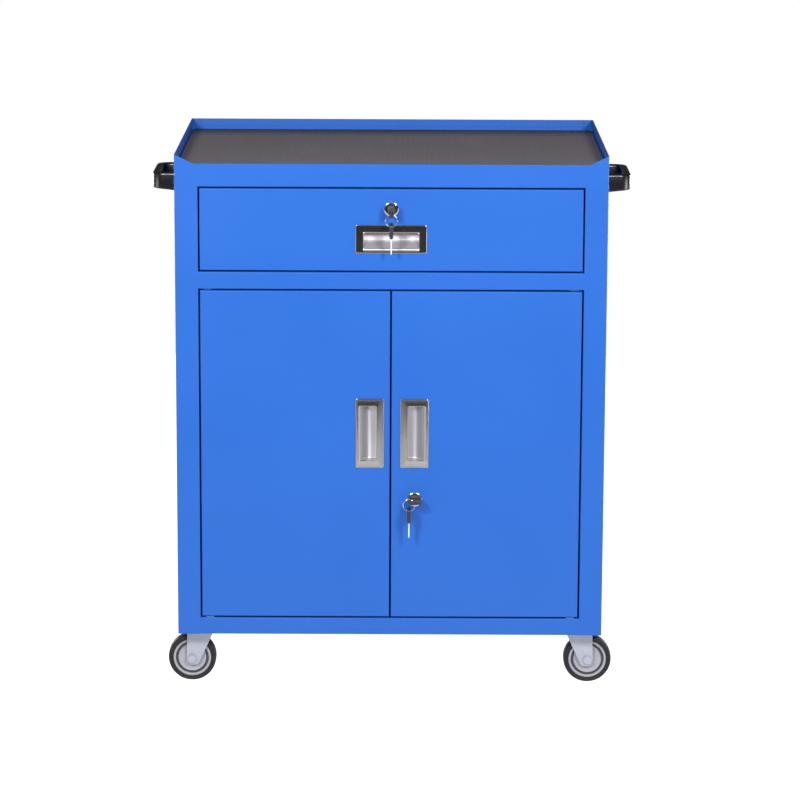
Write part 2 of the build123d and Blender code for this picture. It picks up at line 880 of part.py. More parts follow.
def key(place):
    """Key with its bow towards local +x, its blade towards -x and its shoulder at the origin."""
    cut_pitch = (blade_length - bow_gap - bow_corner) / len(blade_cuts)
    outline = [(over, blade_width / 2), (over, -blade_width / 2)]
    for i, cut in enumerate(blade_cuts):
        start = -bow_gap - bow_corner / 2 - i * cut_pitch
        outline.append((start, -blade_width / 2))
        outline.append((start - cut_pitch / 2, cut - blade_width / 2))
    outline.append((-blade_length + blade_tip, -blade_width / 2))
    outline.append((-blade_length, 0))
    outline.append((-blade_length + blade_tip, blade_width / 2))
    with BuildPart() as piece:
        with BuildSketch(place):
            with Locations((bow_length / 2, 0)):
                RectangleRounded(bow_length, bow_width, bow_corner)
            with Locations((slot_middle, 0)):
                SlotOverall(slot_length, slot_width, rotation=90, mode=Mode.SUBTRACT)
        extrude(amount=bow_thickness / 2, both=True)
        with BuildSketch(place):
            with BuildLine():
                Polyline(*outline, close=True)
            make_face()
        extrude(amount=blade_thickness / 2, both=True)
    return piece.part


def split_ring(centre):
    """Ring of round wire that hangs square to the front."""
    with BuildPart() as ring:
        with Locations(centre):
            Torus(ring_radius, wire_radius, rotation=(90, 0, 0))
    return ring.part


drawer_ring = (0, ring_y, drawer_lock_z - ring_drop - ring_radius)
door_ring = (door_lock_inset - ring_side, ring_y, door_lock_z + flat_ring_rise - ring_radius)

for name, lock_place, ring_centre, upright in (
    ("drawer", drawer_lock_place, drawer_ring, True),
    ("door", door_lock_place, door_ring, False),
):
    shoulder = (lock_place.origin.X, bow_face_y, lock_place.origin.Z)
    normal = (1, 0, 0) if upright else (0, 0, 1)
    with BuildPart() as lock_key:
        add(key(Plane(shoulder, x_dir=(0, -1, 0), z_dir=normal)))
    lock_key.part.label = f"{name}_key"
    export_step(lock_key.part, f"parts/{name}_key.step")
    with BuildPart() as ring:
        add(split_ring(ring_centre))
    ring.part.label = f"{name}_key_ring"
    export_step(ring.part, f"parts/{name}_key_ring.step")
    wire_z = ring_centre[2] - ring_radius
    spare_shoulder = wire_z + wire_radius + wire_clearance - slot_middle - slot_width / 2
    with BuildPart() as spare_key:
        add(key(Plane((ring_centre[0], ring_y, spare_shoulder), x_dir=(0, 0, 1), z_dir=(1, 0, 0))))
    spare_key.part.label = f"{name}_spare_key"
    export_step(spare_key.part, f"parts/{name}_spare_key.step")

# ------------------------------------------------------------------ door pivots and catches
lower_collar = panel_gap - collar_gap
pin_reach = panel_gap + bush_depth + pin_end

with BuildPart() as door_bushes:
    for sleeve_z, collar_z, collar, outward in (
        (bottom_rail_top, bottom_rail_top, lower_collar, -1),
        (door_opening_top, door_opening_top, upper_collar, 1),
    ):
        with BuildSketch(Plane.XY.offset(collar_z)):
            with Locations(*pivot_points):
                Circle(bush_collar_radius)
        extrude(amount=-outward * collar)
        with BuildSketch(Plane.XY.offset(sleeve_z)):
            with Locations(*pivot_points):
                Circle(bush_radius)
        extrude(amount=outward * bush_depth)
        with BuildSketch(Plane.XY.offset(sleeve_z - outward * (collar + over))):
            with Locations(*pivot_points):
                Circle(pin_radius + pin_fit)
        extrude(amount=outward * (collar + bush_depth + 2 * over), mode=Mode.SUBTRACT)
door_bushes.part.label = "door_bushes"
export_step(door_bushes.part, "parts/door_bushes.step")

for side, sign in (("left", -1), ("right", 1)):
    with BuildPart() as door_pins:
        for edge_z, inward in ((door_low, 1), (door_high, -1)):
            head_z = edge_z + inward * sheet
            with BuildSketch(Plane.XY.offset(head_z)):
                with Locations((sign * pivot_x, pivot_y)):
                    Circle(pin_head_radius)
            extrude(amount=inward * pin_head_height)
            with BuildSketch(Plane.XY.offset(head_z)):
                with Locations((sign * pivot_x, pivot_y)):
                    Circle(pin_radius)
            extrude(amount=-inward * (sheet + pin_reach))
    door_pins.part.label = f"{side}_door_pins"
    export_step(door_pins.part, f"parts/{side}_door_pins.step")

with BuildPart() as door_catches:
    with BuildSketch(Plane.XY.offset(door_opening_top)):
        with Locations((-catch_inset, 0), (catch_inset, 0)):
            with Locations((0, front_y + panel_depth + catch_gap + catch_depth / 2)):
                RectangleRounded(catch_width, catch_depth, bend_radius)
    extrude(amount=-catch_height)
door_catches.part.label = "door_catches"
export_step(door_catches.part, "parts/door_catches.step")

# ------------------------------------------------------------------ casters
cup_top = plate_under - race_height - race_gap
leg_inner = hub_width / 2 + fork_play

with BuildPart() as caster_plates:
    with BuildSketch(Plane.XY.offset(plate_under)):
        with Locations(*caster_points):
            RectangleRounded(plate_size, plate_size, plate_corner)
            with GridLocations(bolt_spacing, bolt_spacing, 2, 2):
                Circle(bolt_radius, mode=Mode.SUBTRACT)
    extrude(amount=plate_thickness)
    with BuildSketch(Plane.XY.offset(plate_under)):
        with Locations(*caster_points):
            Circle(race_radius)
    extrude(amount=-race_height)
    with BuildSketch(Plane.XY.offset(plate_under - race_height - over)):
        with Locations(*caster_points):
            Circle(king_pin_radius)
    extrude(amount=race_height + plate_thickness + 2 * over, mode=Mode.SUBTRACT)
caster_plates.part.label = "caster_plates"
export_step(caster_plates.part, "parts/caster_plates.step")

with BuildPart() as caster_king_pins:
    with BuildSketch(Plane.XY.offset(king_pin_low - king_pin_head_height)):
        with Locations(*caster_points):
            Circle(king_pin_head)
    extrude(amount=king_pin_head_height)
    with BuildSketch(Plane.XY.offset(king_pin_low)):
        with Locations(*caster_points):
            Circle(king_pin_radius)
    extrude(amount=caster_flange_z - king_pin_low)
    with BuildSketch(Plane.XY.offset(caster_flange_z)):
        with Locations(*caster_points):
            Circle(king_pin_head)
    extrude(amount=king_pin_top)
caster_king_pins.part.label = "caster_king_pins"
export_step(caster_king_pins.part, "parts/caster_king_pins.step")

with BuildPart() as caster_bolts:
    with BuildSketch(Plane.XY.offset(plate_under)):
        with Locations(*caster_points):
            with GridLocations(bolt_spacing, bolt_spacing, 2, 2):
                RegularPolygon(bolt_head_width / 2, 6, major_radius=False)
    extrude(amount=-bolt_head_height)
    with BuildSketch(Plane.XY.offset(plate_under)):
        with Locations(*caster_points):
            with GridLocations(bolt_spacing, bolt_spacing, 2, 2):
                Circle(bolt_radius)
    extrude(amount=bolt_length)
    with BuildSketch(Plane.XY.offset(caster_flange_z + sheet)):
        with Locations(*caster_points):
            with GridLocations(bolt_spacing, bolt_spacing, 2, 2):
                RegularPolygon(bolt_head_width / 2, 6, major_radius=False)
    extrude(amount=nut_height)
caster_bolts.part.label = "caster_bolts"
export_step(caster_bolts.part, "parts/caster_bolts.step")

rim_radius = wheel_radius - tyre_thickness
groove_radius = rim_radius - rim_band
disc_radius = groove_radius - groove_band

for corner, sign, caster_y in (
    ("front_left", -1, caster_ys[0]),
    ("front_right", 1, caster_ys[0]),
    ("rear_left", -1, caster_ys[1]),
    ("rear_right", 1, caster_ys[1]),
):
    swivel = (sign * caster_x, caster_y, 0)
    plan = Plane(swivel, x_dir=(sign, 0, 0), z_dir=(0, 0, 1))  # local x points outwards
    side_on = Plane(swivel, x_dir=(sign, 0, 0), z_dir=(0, -sign, 0))
    axle_x = sign * (caster_x + trail)
    wheel_axis = Axis((axle_x, caster_y, wheel_radius), (0, 1, 0))
    radial = Plane((axle_x, caster_y, wheel_radius), x_dir=(0, 1, 0), z_dir=(1, 0, 0))

    with BuildPart() as fork:
        crown_mid = (crown_outer_reach - crown_inner_reach) / 2
        with BuildSketch(plan.offset(crown_under)):
            with Locations((crown_mid, 0)):
                Rectangle(crown_outer_reach + crown_inner_reach, 2 * (leg_inner + fork_sheet))
        extrude(amount=fork_sheet)
        crown_bends = fork.edges().filter_by(Axis.X).group_by(Axis.Z)[-1]
        fillet(crown_bends, radius=bend_radius)
        for leg_side in (-1, 1):
            with BuildSketch(side_on.offset(leg_side * leg_inner)):
                with BuildLine():
                    Polyline(
                        (-leg_inner_reach, crown_under),
                        (crown_outer_reach, crown_under),
                        (trail, wheel_radius),
                        close=True,
                    )
                make_face()
                with Locations((trail - leg_foot_shift, wheel_radius)):
                    Circle(leg_foot_radius)
                make_hull()
                with Locations((trail, wheel_radius)):
                    Circle(axle_radius, mode=Mode.SUBTRACT)
            extrude(amount=leg_side * fork_sheet)
        with BuildSketch(plan.offset(crown_top)):
            Circle(race_radius)
        extrude(amount=cup_top - crown_top)
        with BuildSketch(plan.offset(crown_under - over)):
            Circle(king_pin_radius + king_pin_fit)
        extrude(amount=cup_top - crown_under + 2 * over, mode=Mode.SUBTRACT)
    fork.part.label = f"caster_{corner}_fork"
    export_step(fork.part, f"parts/caster_{corner}_fork.step")

    with BuildPart() as axle:
        axle_half = leg_inner + fork_sheet
        with BuildSketch(side_on):
            with Locations((trail, wheel_radius)):
                Circle(axle_radius)
        extrude(amount=axle_half, both=True)
        for end in (-1, 1):
            with BuildSketch(side_on.offset(end * axle_half)):
                with Locations((trail, wheel_radius)):
                    RegularPolygon(axle_head, 6, major_radius=False)
            extrude(amount=end * axle_head_height)
    axle.part.label = f"caster_{corner}_axle"
    export_step(axle.part, f"parts/caster_{corner}_axle.step")

    with BuildPart() as hub:
        with BuildSketch(radial):
            with BuildLine():
                Polyline(
                    (-hub_width / 2, axle_radius + axle_fit),
                    (hub_width / 2, axle_radius + axle_fit),
                    (hub_width / 2, disc_radius),
                    (groove_width / 2, disc_radius),
                    (groove_width / 2, groove_radius),
                    (rim_width / 2, groove_radius),
                    (rim_width / 2, rim_radius),
                    (-rim_width / 2, rim_radius),
                    (-rim_width / 2, groove_radius),
                    (-groove_width / 2, groove_radius),
                    (-groove_width / 2, disc_radius),
                    (-hub_width / 2, disc_radius),
                    close=True,
                )
            make_face()
        revolve(axis=wheel_axis)
    hub.part.label = f"caster_{corner}_hub"
    export_step(hub.part, f"parts/caster_{corner}_hub.step")

    with BuildPart() as tyre:
        with BuildSketch(radial) as tyre_section:
            with BuildLine():
                Polyline(
                    *rectangle_points(-tyre_width / 2, tyre_width / 2, rim_radius, wheel_radius),
                    close=True,
                )
            make_face()
            fillet(tyre_section.vertices().group_by(Axis.Y)[-1], radius=tyre_round)
        revolve(axis=wheel_axis)
    tyre.part.label = f"caster_{corner}_tyre"
    export_step(tyre.part, f"parts/caster_{corner}_tyre.step")
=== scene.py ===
import json
import math
import bmesh
import bpy
from mathutils import Matrix, Vector


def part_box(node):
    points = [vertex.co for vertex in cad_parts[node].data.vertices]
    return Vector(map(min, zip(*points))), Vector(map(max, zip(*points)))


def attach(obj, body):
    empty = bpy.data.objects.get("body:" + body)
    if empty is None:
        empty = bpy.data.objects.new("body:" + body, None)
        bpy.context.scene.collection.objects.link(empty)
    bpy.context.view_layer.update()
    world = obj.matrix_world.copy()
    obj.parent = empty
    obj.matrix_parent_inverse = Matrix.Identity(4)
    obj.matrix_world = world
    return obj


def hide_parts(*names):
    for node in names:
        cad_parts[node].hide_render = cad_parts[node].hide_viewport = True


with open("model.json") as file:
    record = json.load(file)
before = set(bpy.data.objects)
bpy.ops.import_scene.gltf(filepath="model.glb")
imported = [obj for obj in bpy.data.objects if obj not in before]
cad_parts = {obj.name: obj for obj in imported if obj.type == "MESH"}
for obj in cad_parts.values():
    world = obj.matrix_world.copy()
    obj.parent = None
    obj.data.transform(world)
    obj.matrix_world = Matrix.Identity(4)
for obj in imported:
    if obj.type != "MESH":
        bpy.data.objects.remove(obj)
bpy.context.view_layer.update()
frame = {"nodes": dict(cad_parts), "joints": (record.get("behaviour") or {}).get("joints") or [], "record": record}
nodes = frame["nodes"]
joint_place = {joint["name"]: joint.get("pos_m") for joint in frame["joints"]}

mm = 0.001
corners = ("front_left", "front_right", "rear_left", "rear_right")


# ------------------------------------------------------------------ node trees
class Value:
    """An output in a node tree. Arithmetic on it adds Math nodes."""

    def __init__(self, tree, output):
        self.tree = tree
        self.output = output

    def math(self, operation, first, second):
        return self.tree.node("ShaderNodeMath", {"operation": operation}, [first, second])

    def __add__(self, other):
        return self.math("ADD", self, other)

    def __radd__(self, other):
        return self.math("ADD", other, self)

    def __sub__(self, other):
        return self.math("SUBTRACT", self, other)

    def __rsub__(self, other):
        return self.math("SUBTRACT", other, self)

    def __mul__(self, other):
        return self.math("MULTIPLY", self, other)


class Tree:
    """Makes nodes in a shader tree or a geometry tree."""

    def __init__(self, tree):
        self.tree = tree

    def node(self, kind, settings=None, values=(), output=0):
        made = self.tree.nodes.new(kind)
        for name, value in (settings or {}).items():
            setattr(made, name, value)
        pairs = values.items() if isinstance(values, dict) else enumerate(values)
        for name, value in pairs:
            self.feed(made.inputs[name], value)
        return Value(self, made.outputs[output]) if len(made.outputs) else None

    def feed(self, socket, value):
        if isinstance(value, Value):
            self.tree.links.new(value.output, socket)
        else:
            socket.default_value = value


class Finish(Tree):
    """A material with one Principled shader. Steady values are set on the shader itself."""

    def __init__(self, name, **steady):
        self.material = bpy.data.materials.new(name)
        self.material.use_nodes = True
        super().__init__(self.material.node_tree)
        self.shader = self.tree.nodes["Principled BSDF"]
        for socket, value in steady.items():
            self.shader.inputs[socket.replace("_", " ")].default_value = value
        self.place = self.node("ShaderNodeTexCoord", output="Object")

    def set(self, socket, value):
        self.feed(self.shader.inputs[socket], value)

    def stretched(self, scale):
        """The piece's coordinates, scaled by a different amount on each axis."""
        return self.node("ShaderNodeMapping", None, {"Vector": self.place, "Scale": scale})

    def noise(self, scale, detail=2.0, roughness=0.5, vector=None):
        values = {"Vector": vector or self.place, "Scale": scale, "Detail": detail, "Roughness": roughness}
        return self.node("ShaderNodeTexNoise", None, values)

    def cells(self, scale, output="Distance"):
        return self.node("ShaderNodeTexVoronoi", None, {"Vector": self.place, "Scale": scale}, output)

    def height(self, axis="Z"):
        return self.node("ShaderNodeSeparateXYZ", None, [self.place], axis)

    def clipped(self, value, low, high):
        values = {"Value": value, "From Min": low, "From Max": high}
        return self.node("ShaderNodeMapRange", {"clamp": True}, values)

    def blend(self, factor, first, second):
        values = {0: factor, 6: (*first, 1.0) if isinstance(first, tuple) else first}
        values[7] = (*second, 1.0) if isinstance(second, tuple) else second
        return self.node("ShaderNodeMix", {"data_type": "RGBA"}, values, 2)

    def bump(self, height, depth, strength=1.0):
        values = {"Height": height, "Distance": depth, "Strength": strength}
        self.set("Normal", self.node("ShaderNodeBump", None, values))


# ------------------------------------------------------------------ finishes
def blue_powder_coat():
    """Satin powder coat: fine orange peel, faint mottling, a little dust low down."""
    finish = Finish("blue_powder_coat", Coat_Weight=0.08, Coat_Roughness=0.25, Specular_IOR_Level=0.38)
    mottle = finish.noise(5.0, 3.0)
    grain = finish.noise(420.0, 3.0, 0.6)
    peel = finish.noise(230.0, 2.0)
    deep = finish.blend(mottle, (0.0045, 0.079, 0.372), (0.0065, 0.091, 0.402))
    speckled = finish.blend(finish.clipped(grain, 0.62, 0.78) * 0.10, deep, (0.018, 0.12, 0.46))
    dust = finish.clipped(0.20 - finish.height(), 0.0, 0.20) * finish.noise(22.0, 4.0, 0.65) * 0.05
    finish.set("Base Color", finish.blend(dust, speckled, (0.16, 0.19, 0.26)))
    finish.set("Roughness", 0.40 + mottle * 0.10 + dust * 0.5)
    finish.bump(peel * 0.6 + grain * 0.4, 0.12 * mm, 0.35)
    return finish.material


def ribbed_rubber():
    """Dark grey matt rubber of the tray's mat, with painted shade darkening it towards its back edge."""
    finish = Finish("ribbed_rubber", Specular_IOR_Level=0.35)
    cloud = finish.noise(9.0, 4.0, 0.6)
    grain = finish.noise(900.0, 2.0, 0.7)
    scuff = finish.clipped(finish.noise(30.0, 5.0, 0.7, finish.stretched((0.35, 1.0, 1.0))), 0.60, 0.80)
    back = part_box("tray_mat")[1].y
    # Painted shade: the mat turns darker and bluish towards its back edge, standing in for the shadow of the back
    # rim.
    painted_back_shade = finish.clipped(finish.height("Y"), back - 90 * mm, back - 10 * mm) * 0.95
    worn = finish.blend(cloud, (0.125, 0.114, 0.127), (0.170, 0.156, 0.170))
    ground = finish.blend(painted_back_shade, worn, (0.022, 0.022, 0.034))
    finish.set("Base Color", finish.blend(scuff * 0.35, ground, (0.22, 0.20, 0.21)))
    finish.set("Roughness", 0.62 + grain * 0.2 - scuff * 0.1)
    finish.bump(grain, 0.15 * mm, 0.5)
    return finish.material


def moulded_plastic(name, dark, light, roughness, grain_scale=1500.0):
    """Moulded plastic with a fine spark-eroded grain."""
    finish = Finish(name)
    grain = finish.noise(grain_scale, 2.0, 0.6)
    cloud = finish.noise(30.0, 2.0)
    finish.set("Base Color", finish.blend(cloud, dark, light))
    finish.set("Roughness", roughness + grain * 0.10)
    finish.bump(grain, 0.08 * mm, 0.4)
    return finish.material


def satin_nickel():
    """Nickel-plated pressing: smooth plate; down in the recess a rougher surface whose colour is painted lighter,
    a painted highlight for the light the recess catches.
    """
    finish = Finish("satin_nickel", Metallic=1.0)
    plate_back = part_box("drawer_pull")[0].y + 1.0 * mm
    # Down in the recess the roughness rises and the colour is painted lighter, as painted light.
    recess_rough_and_painted_light = finish.clipped(finish.height("Y"), plate_back, plate_back + 2.0 * mm)
    fine = finish.noise(720.0, 3.0, 0.6)
    cloud = finish.noise(35.0, 3.0)
    plate = finish.blend(cloud, (0.36, 0.34, 0.32), (0.44, 0.42, 0.40))
    finish.set("Base Color", finish.blend(recess_rough_and_painted_light, plate, (0.50, 0.49, 0.52)))
    finish.set("Roughness", 0.15 + fine * 0.06 + recess_rough_and_painted_light * 0.36)
    finish.bump(fine, 0.02 * mm, 0.4)
    return finish.material


def bright_chrome():
    """Chrome plate with a few hairline marks."""
    finish = Finish("bright_chrome", Metallic=1.0)
    hairline = finish.noise(300.0, 2.0, 0.5, finish.stretched((0.2, 1.0, 1.0)))
    cloud = finish.noise(80.0, 2.0)
    finish.set("Base Color", finish.blend(cloud, (0.74, 0.75, 0.77), (0.82, 0.83, 0.85)))
    finish.set("Roughness", 0.07 + finish.clipped(hairline, 0.55, 0.75) * 0.12)
    return finish.material


def zinc_plate(name, dark, light, metallic, roughness):
    """Zinc-plated steel with a soft spangle."""
    finish = Finish(name, Metallic=metallic)
    spangle = finish.cells(260.0)
    cloud = finish.noise(40.0, 4.0, 0.6)
    finish.set("Base Color", finish.blend(cloud, dark, light))
    finish.set("Roughness", roughness + spangle * 0.12 + cloud * 0.08)
    finish.bump(finish.noise(700.0, 2.0), 0.03 * mm, 0.5)
    return finish.material


def tyre_rubber():
    """Solid black rubber, slightly dusty."""
    finish = Finish("tyre_rubber", Specular_IOR_Level=0.4)
    grain = finish.noise(1200.0, 2.0, 0.7)
    dust = finish.clipped(finish.noise(70.0, 5.0, 0.7), 0.52, 0.75)
    finish.set("Base Color", finish.blend(dust * 0.25, (0.005, 0.005, 0.006), (0.040, 0.037, 0.035)))
    finish.set("Roughness", 0.50 + dust * 0.2 + grain * 0.1)
    finish.bump(grain, 0.10 * mm, 0.5)
    return finish.material


def floor_paint():
    """Plain pale studio floor."""
    finish = Finish("pale_floor", Roughness=0.9, Specular_IOR_Level=0.1)
    finish.set("Base Color", finish.blend(finish.noise(0.7, 2.0), (0.44, 0.44, 0.44), (0.46, 0.46, 0.46)))
    finish.set("Emission Color", (1.0, 1.0, 1.0, 1.0))
    seen = finish.node("ShaderNodeLightPath", output="Is Camera Ray")
    finish.set("Emission Strength", seen * 0.45 + 0.60)
    return finish.material


paint = blue_powder_coat()
mat_rubber = ribbed_rubber()
handle_plastic = moulded_plastic("black_handle_plastic", (0.004, 0.004, 0.006), (0.007, 0.006, 0.009), 0.22)
key_plastic = moulded_plastic("black_key_plastic", (0.012, 0.012, 0.015), (0.020, 0.019, 0.022), 0.34)
wheel_plastic = moulded_plastic("grey_wheel_plastic", (0.25, 0.25, 0.285), (0.30, 0.30, 0.335), 0.42)
# Near-black plastic for the rings that paint shade into the wheel grooves.
groove_shade_material = moulded_plastic("dark_seal_plastic", (0.035, 0.035, 0.045), (0.05, 0.05, 0.06), 0.5)
nylon = moulded_plastic("natural_nylon", (0.03, 0.10, 0.27), (0.04, 0.12, 0.30), 0.40)
magnet_plastic = moulded_plastic("catch_plastic", (0.20, 0.20, 0.21), (0.26, 0.26, 0.27), 0.45)
nickel = satin_nickel()
chrome = bright_chrome()
zinc = zinc_plate("zinc_plate", (0.34, 0.35, 0.39), (0.43, 0.44, 0.48), 0.85, 0.32)
fork_zinc = zinc_plate("fork_zinc_plate", (0.34, 0.36, 0.42), (0.40, 0.42, 0.48), 0.45, 0.34)
blade_nickel = zinc_plate("key_blade_nickel", (0.74, 0.76, 0.78), (0.84, 0.85, 0.86), 0.55, 0.28)
plug_metal = zinc_plate("dark_plug_metal", (0.30, 0.28, 0.26), (0.40, 0.37, 0.34), 1.0, 0.24)
rubber = tyre_rubber()


# ------------------------------------------------------------------ mesh helpers
def finish_piece(name, mesh, material, body, replaced=(), sharp=38.0):
    """An object at the origin for a finished mesh, riding on its body."""
    mesh.materials.clear()
    mesh.materials.append(material)
    mesh.shade_smooth()
    mesh.set_sharp_from_angle(angle=math.radians(sharp))
    piece = bpy.data.objects.new(name, mesh)
    bpy.context.scene.collection.objects.link(piece)
    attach(piece, body)
    if replaced:
        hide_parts(*replaced)
    return piece


def mesh_from(shape, name):
    """Closes a bmesh into a mesh with its faces pointing outwards."""
    bmesh.ops.remove_doubles(shape, verts=shape.verts, dist=1e-7)
    bmesh.ops.recalc_face_normals(shape, faces=shape.faces)
    mesh = bpy.data.meshes.new(name)
    shape.to_mesh(mesh)
    shape.free()
    return mesh


def join_rings(shape, rings, closed=False):
    """Skins a row of rings of points; open rows are capped at both ends."""
    loops = [[shape.verts.new(point) for point in ring] for ring in rings]
    following = loops[1:] + loops[:1] if closed else loops[1:]
    for first, second in zip(loops, following):
        count = max(len(first), len(second))
        for i in range(count):
            j = (i + 1) % count
            if len(first) == 1 and len(second) == 1:
                break
            if len(first) == 1:
                shape.faces.new((first[0], second[j], second[i]))
            elif len(second) == 1:
                shape.faces.new((first[i], first[j], second[0]))
            else:
                shape.faces.new((first[i], first[j], second[j], second[i]))
    if not closed:
        for loop in (loops[0], loops[-1]):
            if len(loop) > 2:
                shape.faces.new(loop)


def rounded_outline(corner_points, steps=5):
    """Outline with round corners, from (x, y, radius) at each corner."""
    outline = []
    count = len(corner_points)
    for i, (x, y, radius) in enumerate(corner_points):
        here = Vector((x, y))
        if radius <= 0:
            outline.append(here)
            continue
        back = (Vector(corner_points[i - 1][:2]) - here).normalized()
        on = (Vector(corner_points[(i + 1) % count][:2]) - here).normalized()
        half_angle = back.angle(on) / 2
        centre = here + (back + on).normalized() * (radius / math.sin(half_angle))
        setback = radius / math.tan(half_angle)
        start = here + back * setback - centre
        swing = start.angle_signed(here + on * setback - centre)
        for k in range(steps + 1):
            outline.append(centre + Matrix.Rotation(-swing * k / steps, 2) @ start)
    return outline


def rounded_rectangle(left, right, low, high, radius, steps=5):
    radius = min(radius, (right - left) / 2.001, (high - low) / 2.001)
    points = [(left, low, radius), (right, low, radius), (right, high, radius), (left, high, radius)]
    return rounded_outline(points, steps)


def axes_matrix(origin, x_axis, y_axis):
    """Place whose local x and y run along the given directions."""
    x_axis, y_axis = Vector(x_axis), Vector(y_axis)
    matrix = Matrix((x_axis, y_axis, x_axis.cross(y_axis))).transposed().to_4x4()
    matrix.translation = Vector(origin)
    return matrix


def lathe(shape, profile, place, steps=64, closed=True):
    """Solid of revolution about the local z axis, from (radius, height) points in mm."""
    rings = []
    for radius, height in profile:
        if radius < 1e-4:
            rings.append([place @ Vector((0, 0, height * mm))])
            continue
        ring = []
        for i in range(steps):
            turn = math.tau * i / steps
            ring.append(place @ (Vector((radius * math.cos(turn), radius * math.sin(turn), height)) * mm))
        rings.append(ring)
    join_rings(shape, rings, closed)


def tube(shape, points, radius, sides=10, closed=False):
    """Round wire through a row of points."""
    rings = []
    count = len(points)
    side = None
    for i, point in enumerate(points):
        before = points[i - 1] if closed or i else points[0]
        after = points[(i + 1) % count] if closed or i < count - 1 else points[-1]
        along = (after - before).normalized()
        if side is None:
            side = along.orthogonal()
        side = (side - along * side.dot(along)).normalized()
        up = along.cross(side)
        ring = []
        for k in range(sides):
            turn = math.tau * k / sides
            ring.append(point + radius * (math.cos(turn) * side + math.sin(turn) * up))
        rings.append(ring)
    join_rings(shape, rings, closed)


def softened_copy(node, name, width, material, body, segments=2):
    """A CAD piece with its edges broken by a small round, as a tumbled or plated part has."""
    shape = bmesh.new()
    shape.from_mesh(nodes[node].data)
    bmesh.ops.remove_doubles(shape, verts=shape.verts, dist=0.002 * mm)
    flat = math.radians(1.0)
    bmesh.ops.dissolve_limit(shape, angle_limit=flat, verts=shape.verts, edges=shape.edges)
    mesh = bpy.data.meshes.new(name)
    shape.to_mesh(mesh)
    shape.free()
    piece = bpy.data.objects.new(name + "_blank", mesh)
    bpy.context.scene.collection.objects.link(piece)
    rounding = piece.modifiers.new("edges", "BEVEL")
    rounding.width = width * mm
    rounding.segments = segments
    rounding.limit_method = "ANGLE"
    rounding.angle_limit = math.radians(40)
    rounding.harden_normals = False
    result = evaluated_mesh(piece, name)
    return finish_piece(name, result, material, body, [node])


def evaluated_mesh(piece, name):
    """The piece's mesh with its modifiers applied; the piece itself is removed."""
    bpy.context.view_layer.update()
    shown = piece.evaluated_get(bpy.context.evaluated_depsgraph_get())
    mesh = bpy.data.meshes.new_from_object(shown)
    mesh.name = name
    piece.modifiers.clear()
    bpy.data.objects.remove(piece)
    return mesh


# ------------------------------------------------------------------ repeated pieces
class Pattern(Tree):
    """A Geometry Nodes tree with named inputs."""

    def __init__(self, name, inputs):
        group = bpy.data.node_groups.new(name, "GeometryNodeTree")
        group.interface.new_socket(name="Geometry", in_out="OUTPUT", socket_type="NodeSocketGeometry")
        group.interface.new_socket(name="Geometry", in_out="INPUT", socket_type="NodeSocketGeometry")
        self.named = {}
        for title, kind in inputs:
            self.named[title] = group.interface.new_socket(name=title, in_out="INPUT", socket_type=kind)
        super().__init__(group)
        self.entry = group.nodes.new("NodeGroupInput")

    def input(self, title):
        return Value(self, self.entry.outputs[title])

    def end(self, geometry, material):
        """Makes the copies real, gives them their material and ends the tree."""
        real = self.node("GeometryNodeRealizeInstances", None, [geometry])
        values = {"Geometry": real, "Material": material}
        painted = self.node("GeometryNodeSetMaterial", None, values)
        leaving = self.tree.nodes.new("NodeGroupOutput")
        self.tree.links.new(painted.output, leaving.inputs[0])

    def mesh(self, name, values, base=None):
        """Runs the tree on a base mesh with the given inputs and returns the result."""
        holder = bpy.data.objects.new(name + "_holder", base or bpy.data.meshes.new(name))
        bpy.context.scene.collection.objects.link(holder)
        modifier = holder.modifiers.new("pattern", "NODES")
        modifier.node_group = self.tree
        for title, value in values.items():
            modifier[self.named[title].identifier] = value
        return evaluated_mesh(holder, name)


def row_of_ribs():
    """Straight ribs side by side, half round in section."""
    sizes = [(title, "NodeSocketFloat") for title in ("Length", "Pitch", "Width", "Height", "Start")]
    tree = Pattern("row_of_ribs", sizes + [("Count", "NodeSocketInt"), ("Material", "NodeSocketMaterial")])
    step = tree.node("ShaderNodeCombineXYZ", None, {"X": tree.input("Pitch")})
    start = tree.node("ShaderNodeCombineXYZ", None, {"X": tree.input("Start")})
    values = {"Count": tree.input("Count"), "Start Location": start, "Offset": step}
    places = tree.node("GeometryNodeMeshLine", {"mode": "OFFSET"}, values)
    half = tree.input("Length") * 0.5
    near = tree.node("ShaderNodeCombineXYZ", None, {"Y": half * -1.0})
    far = tree.node("ShaderNodeCombineXYZ", None, {"Y": half})
    spine = tree.node("GeometryNodeCurvePrimitiveLine", None, {"Start": near, "End": far})
    circle = tree.node("GeometryNodeCurvePrimitiveCircle", None, {"Resolution": 8, "Radius": 0.5})
    values = {"Curve": spine, "Profile Curve": circle, "Fill Caps": True}
    rib = tree.node("GeometryNodeCurveToMesh", None, values)
    values = {"X": tree.input("Width"), "Y": 1.0, "Z": tree.input("Height") * 2.0}
    size = tree.node("ShaderNodeCombineXYZ", None, values)
    shaped = tree.node("GeometryNodeTransform", None, {"Geometry": rib, "Scale": size})
    copies = tree.node("GeometryNodeInstanceOnPoints", None, {"Points": places, "Instance": shaped})
    tree.end(copies, tree.input("Material"))
    return tree


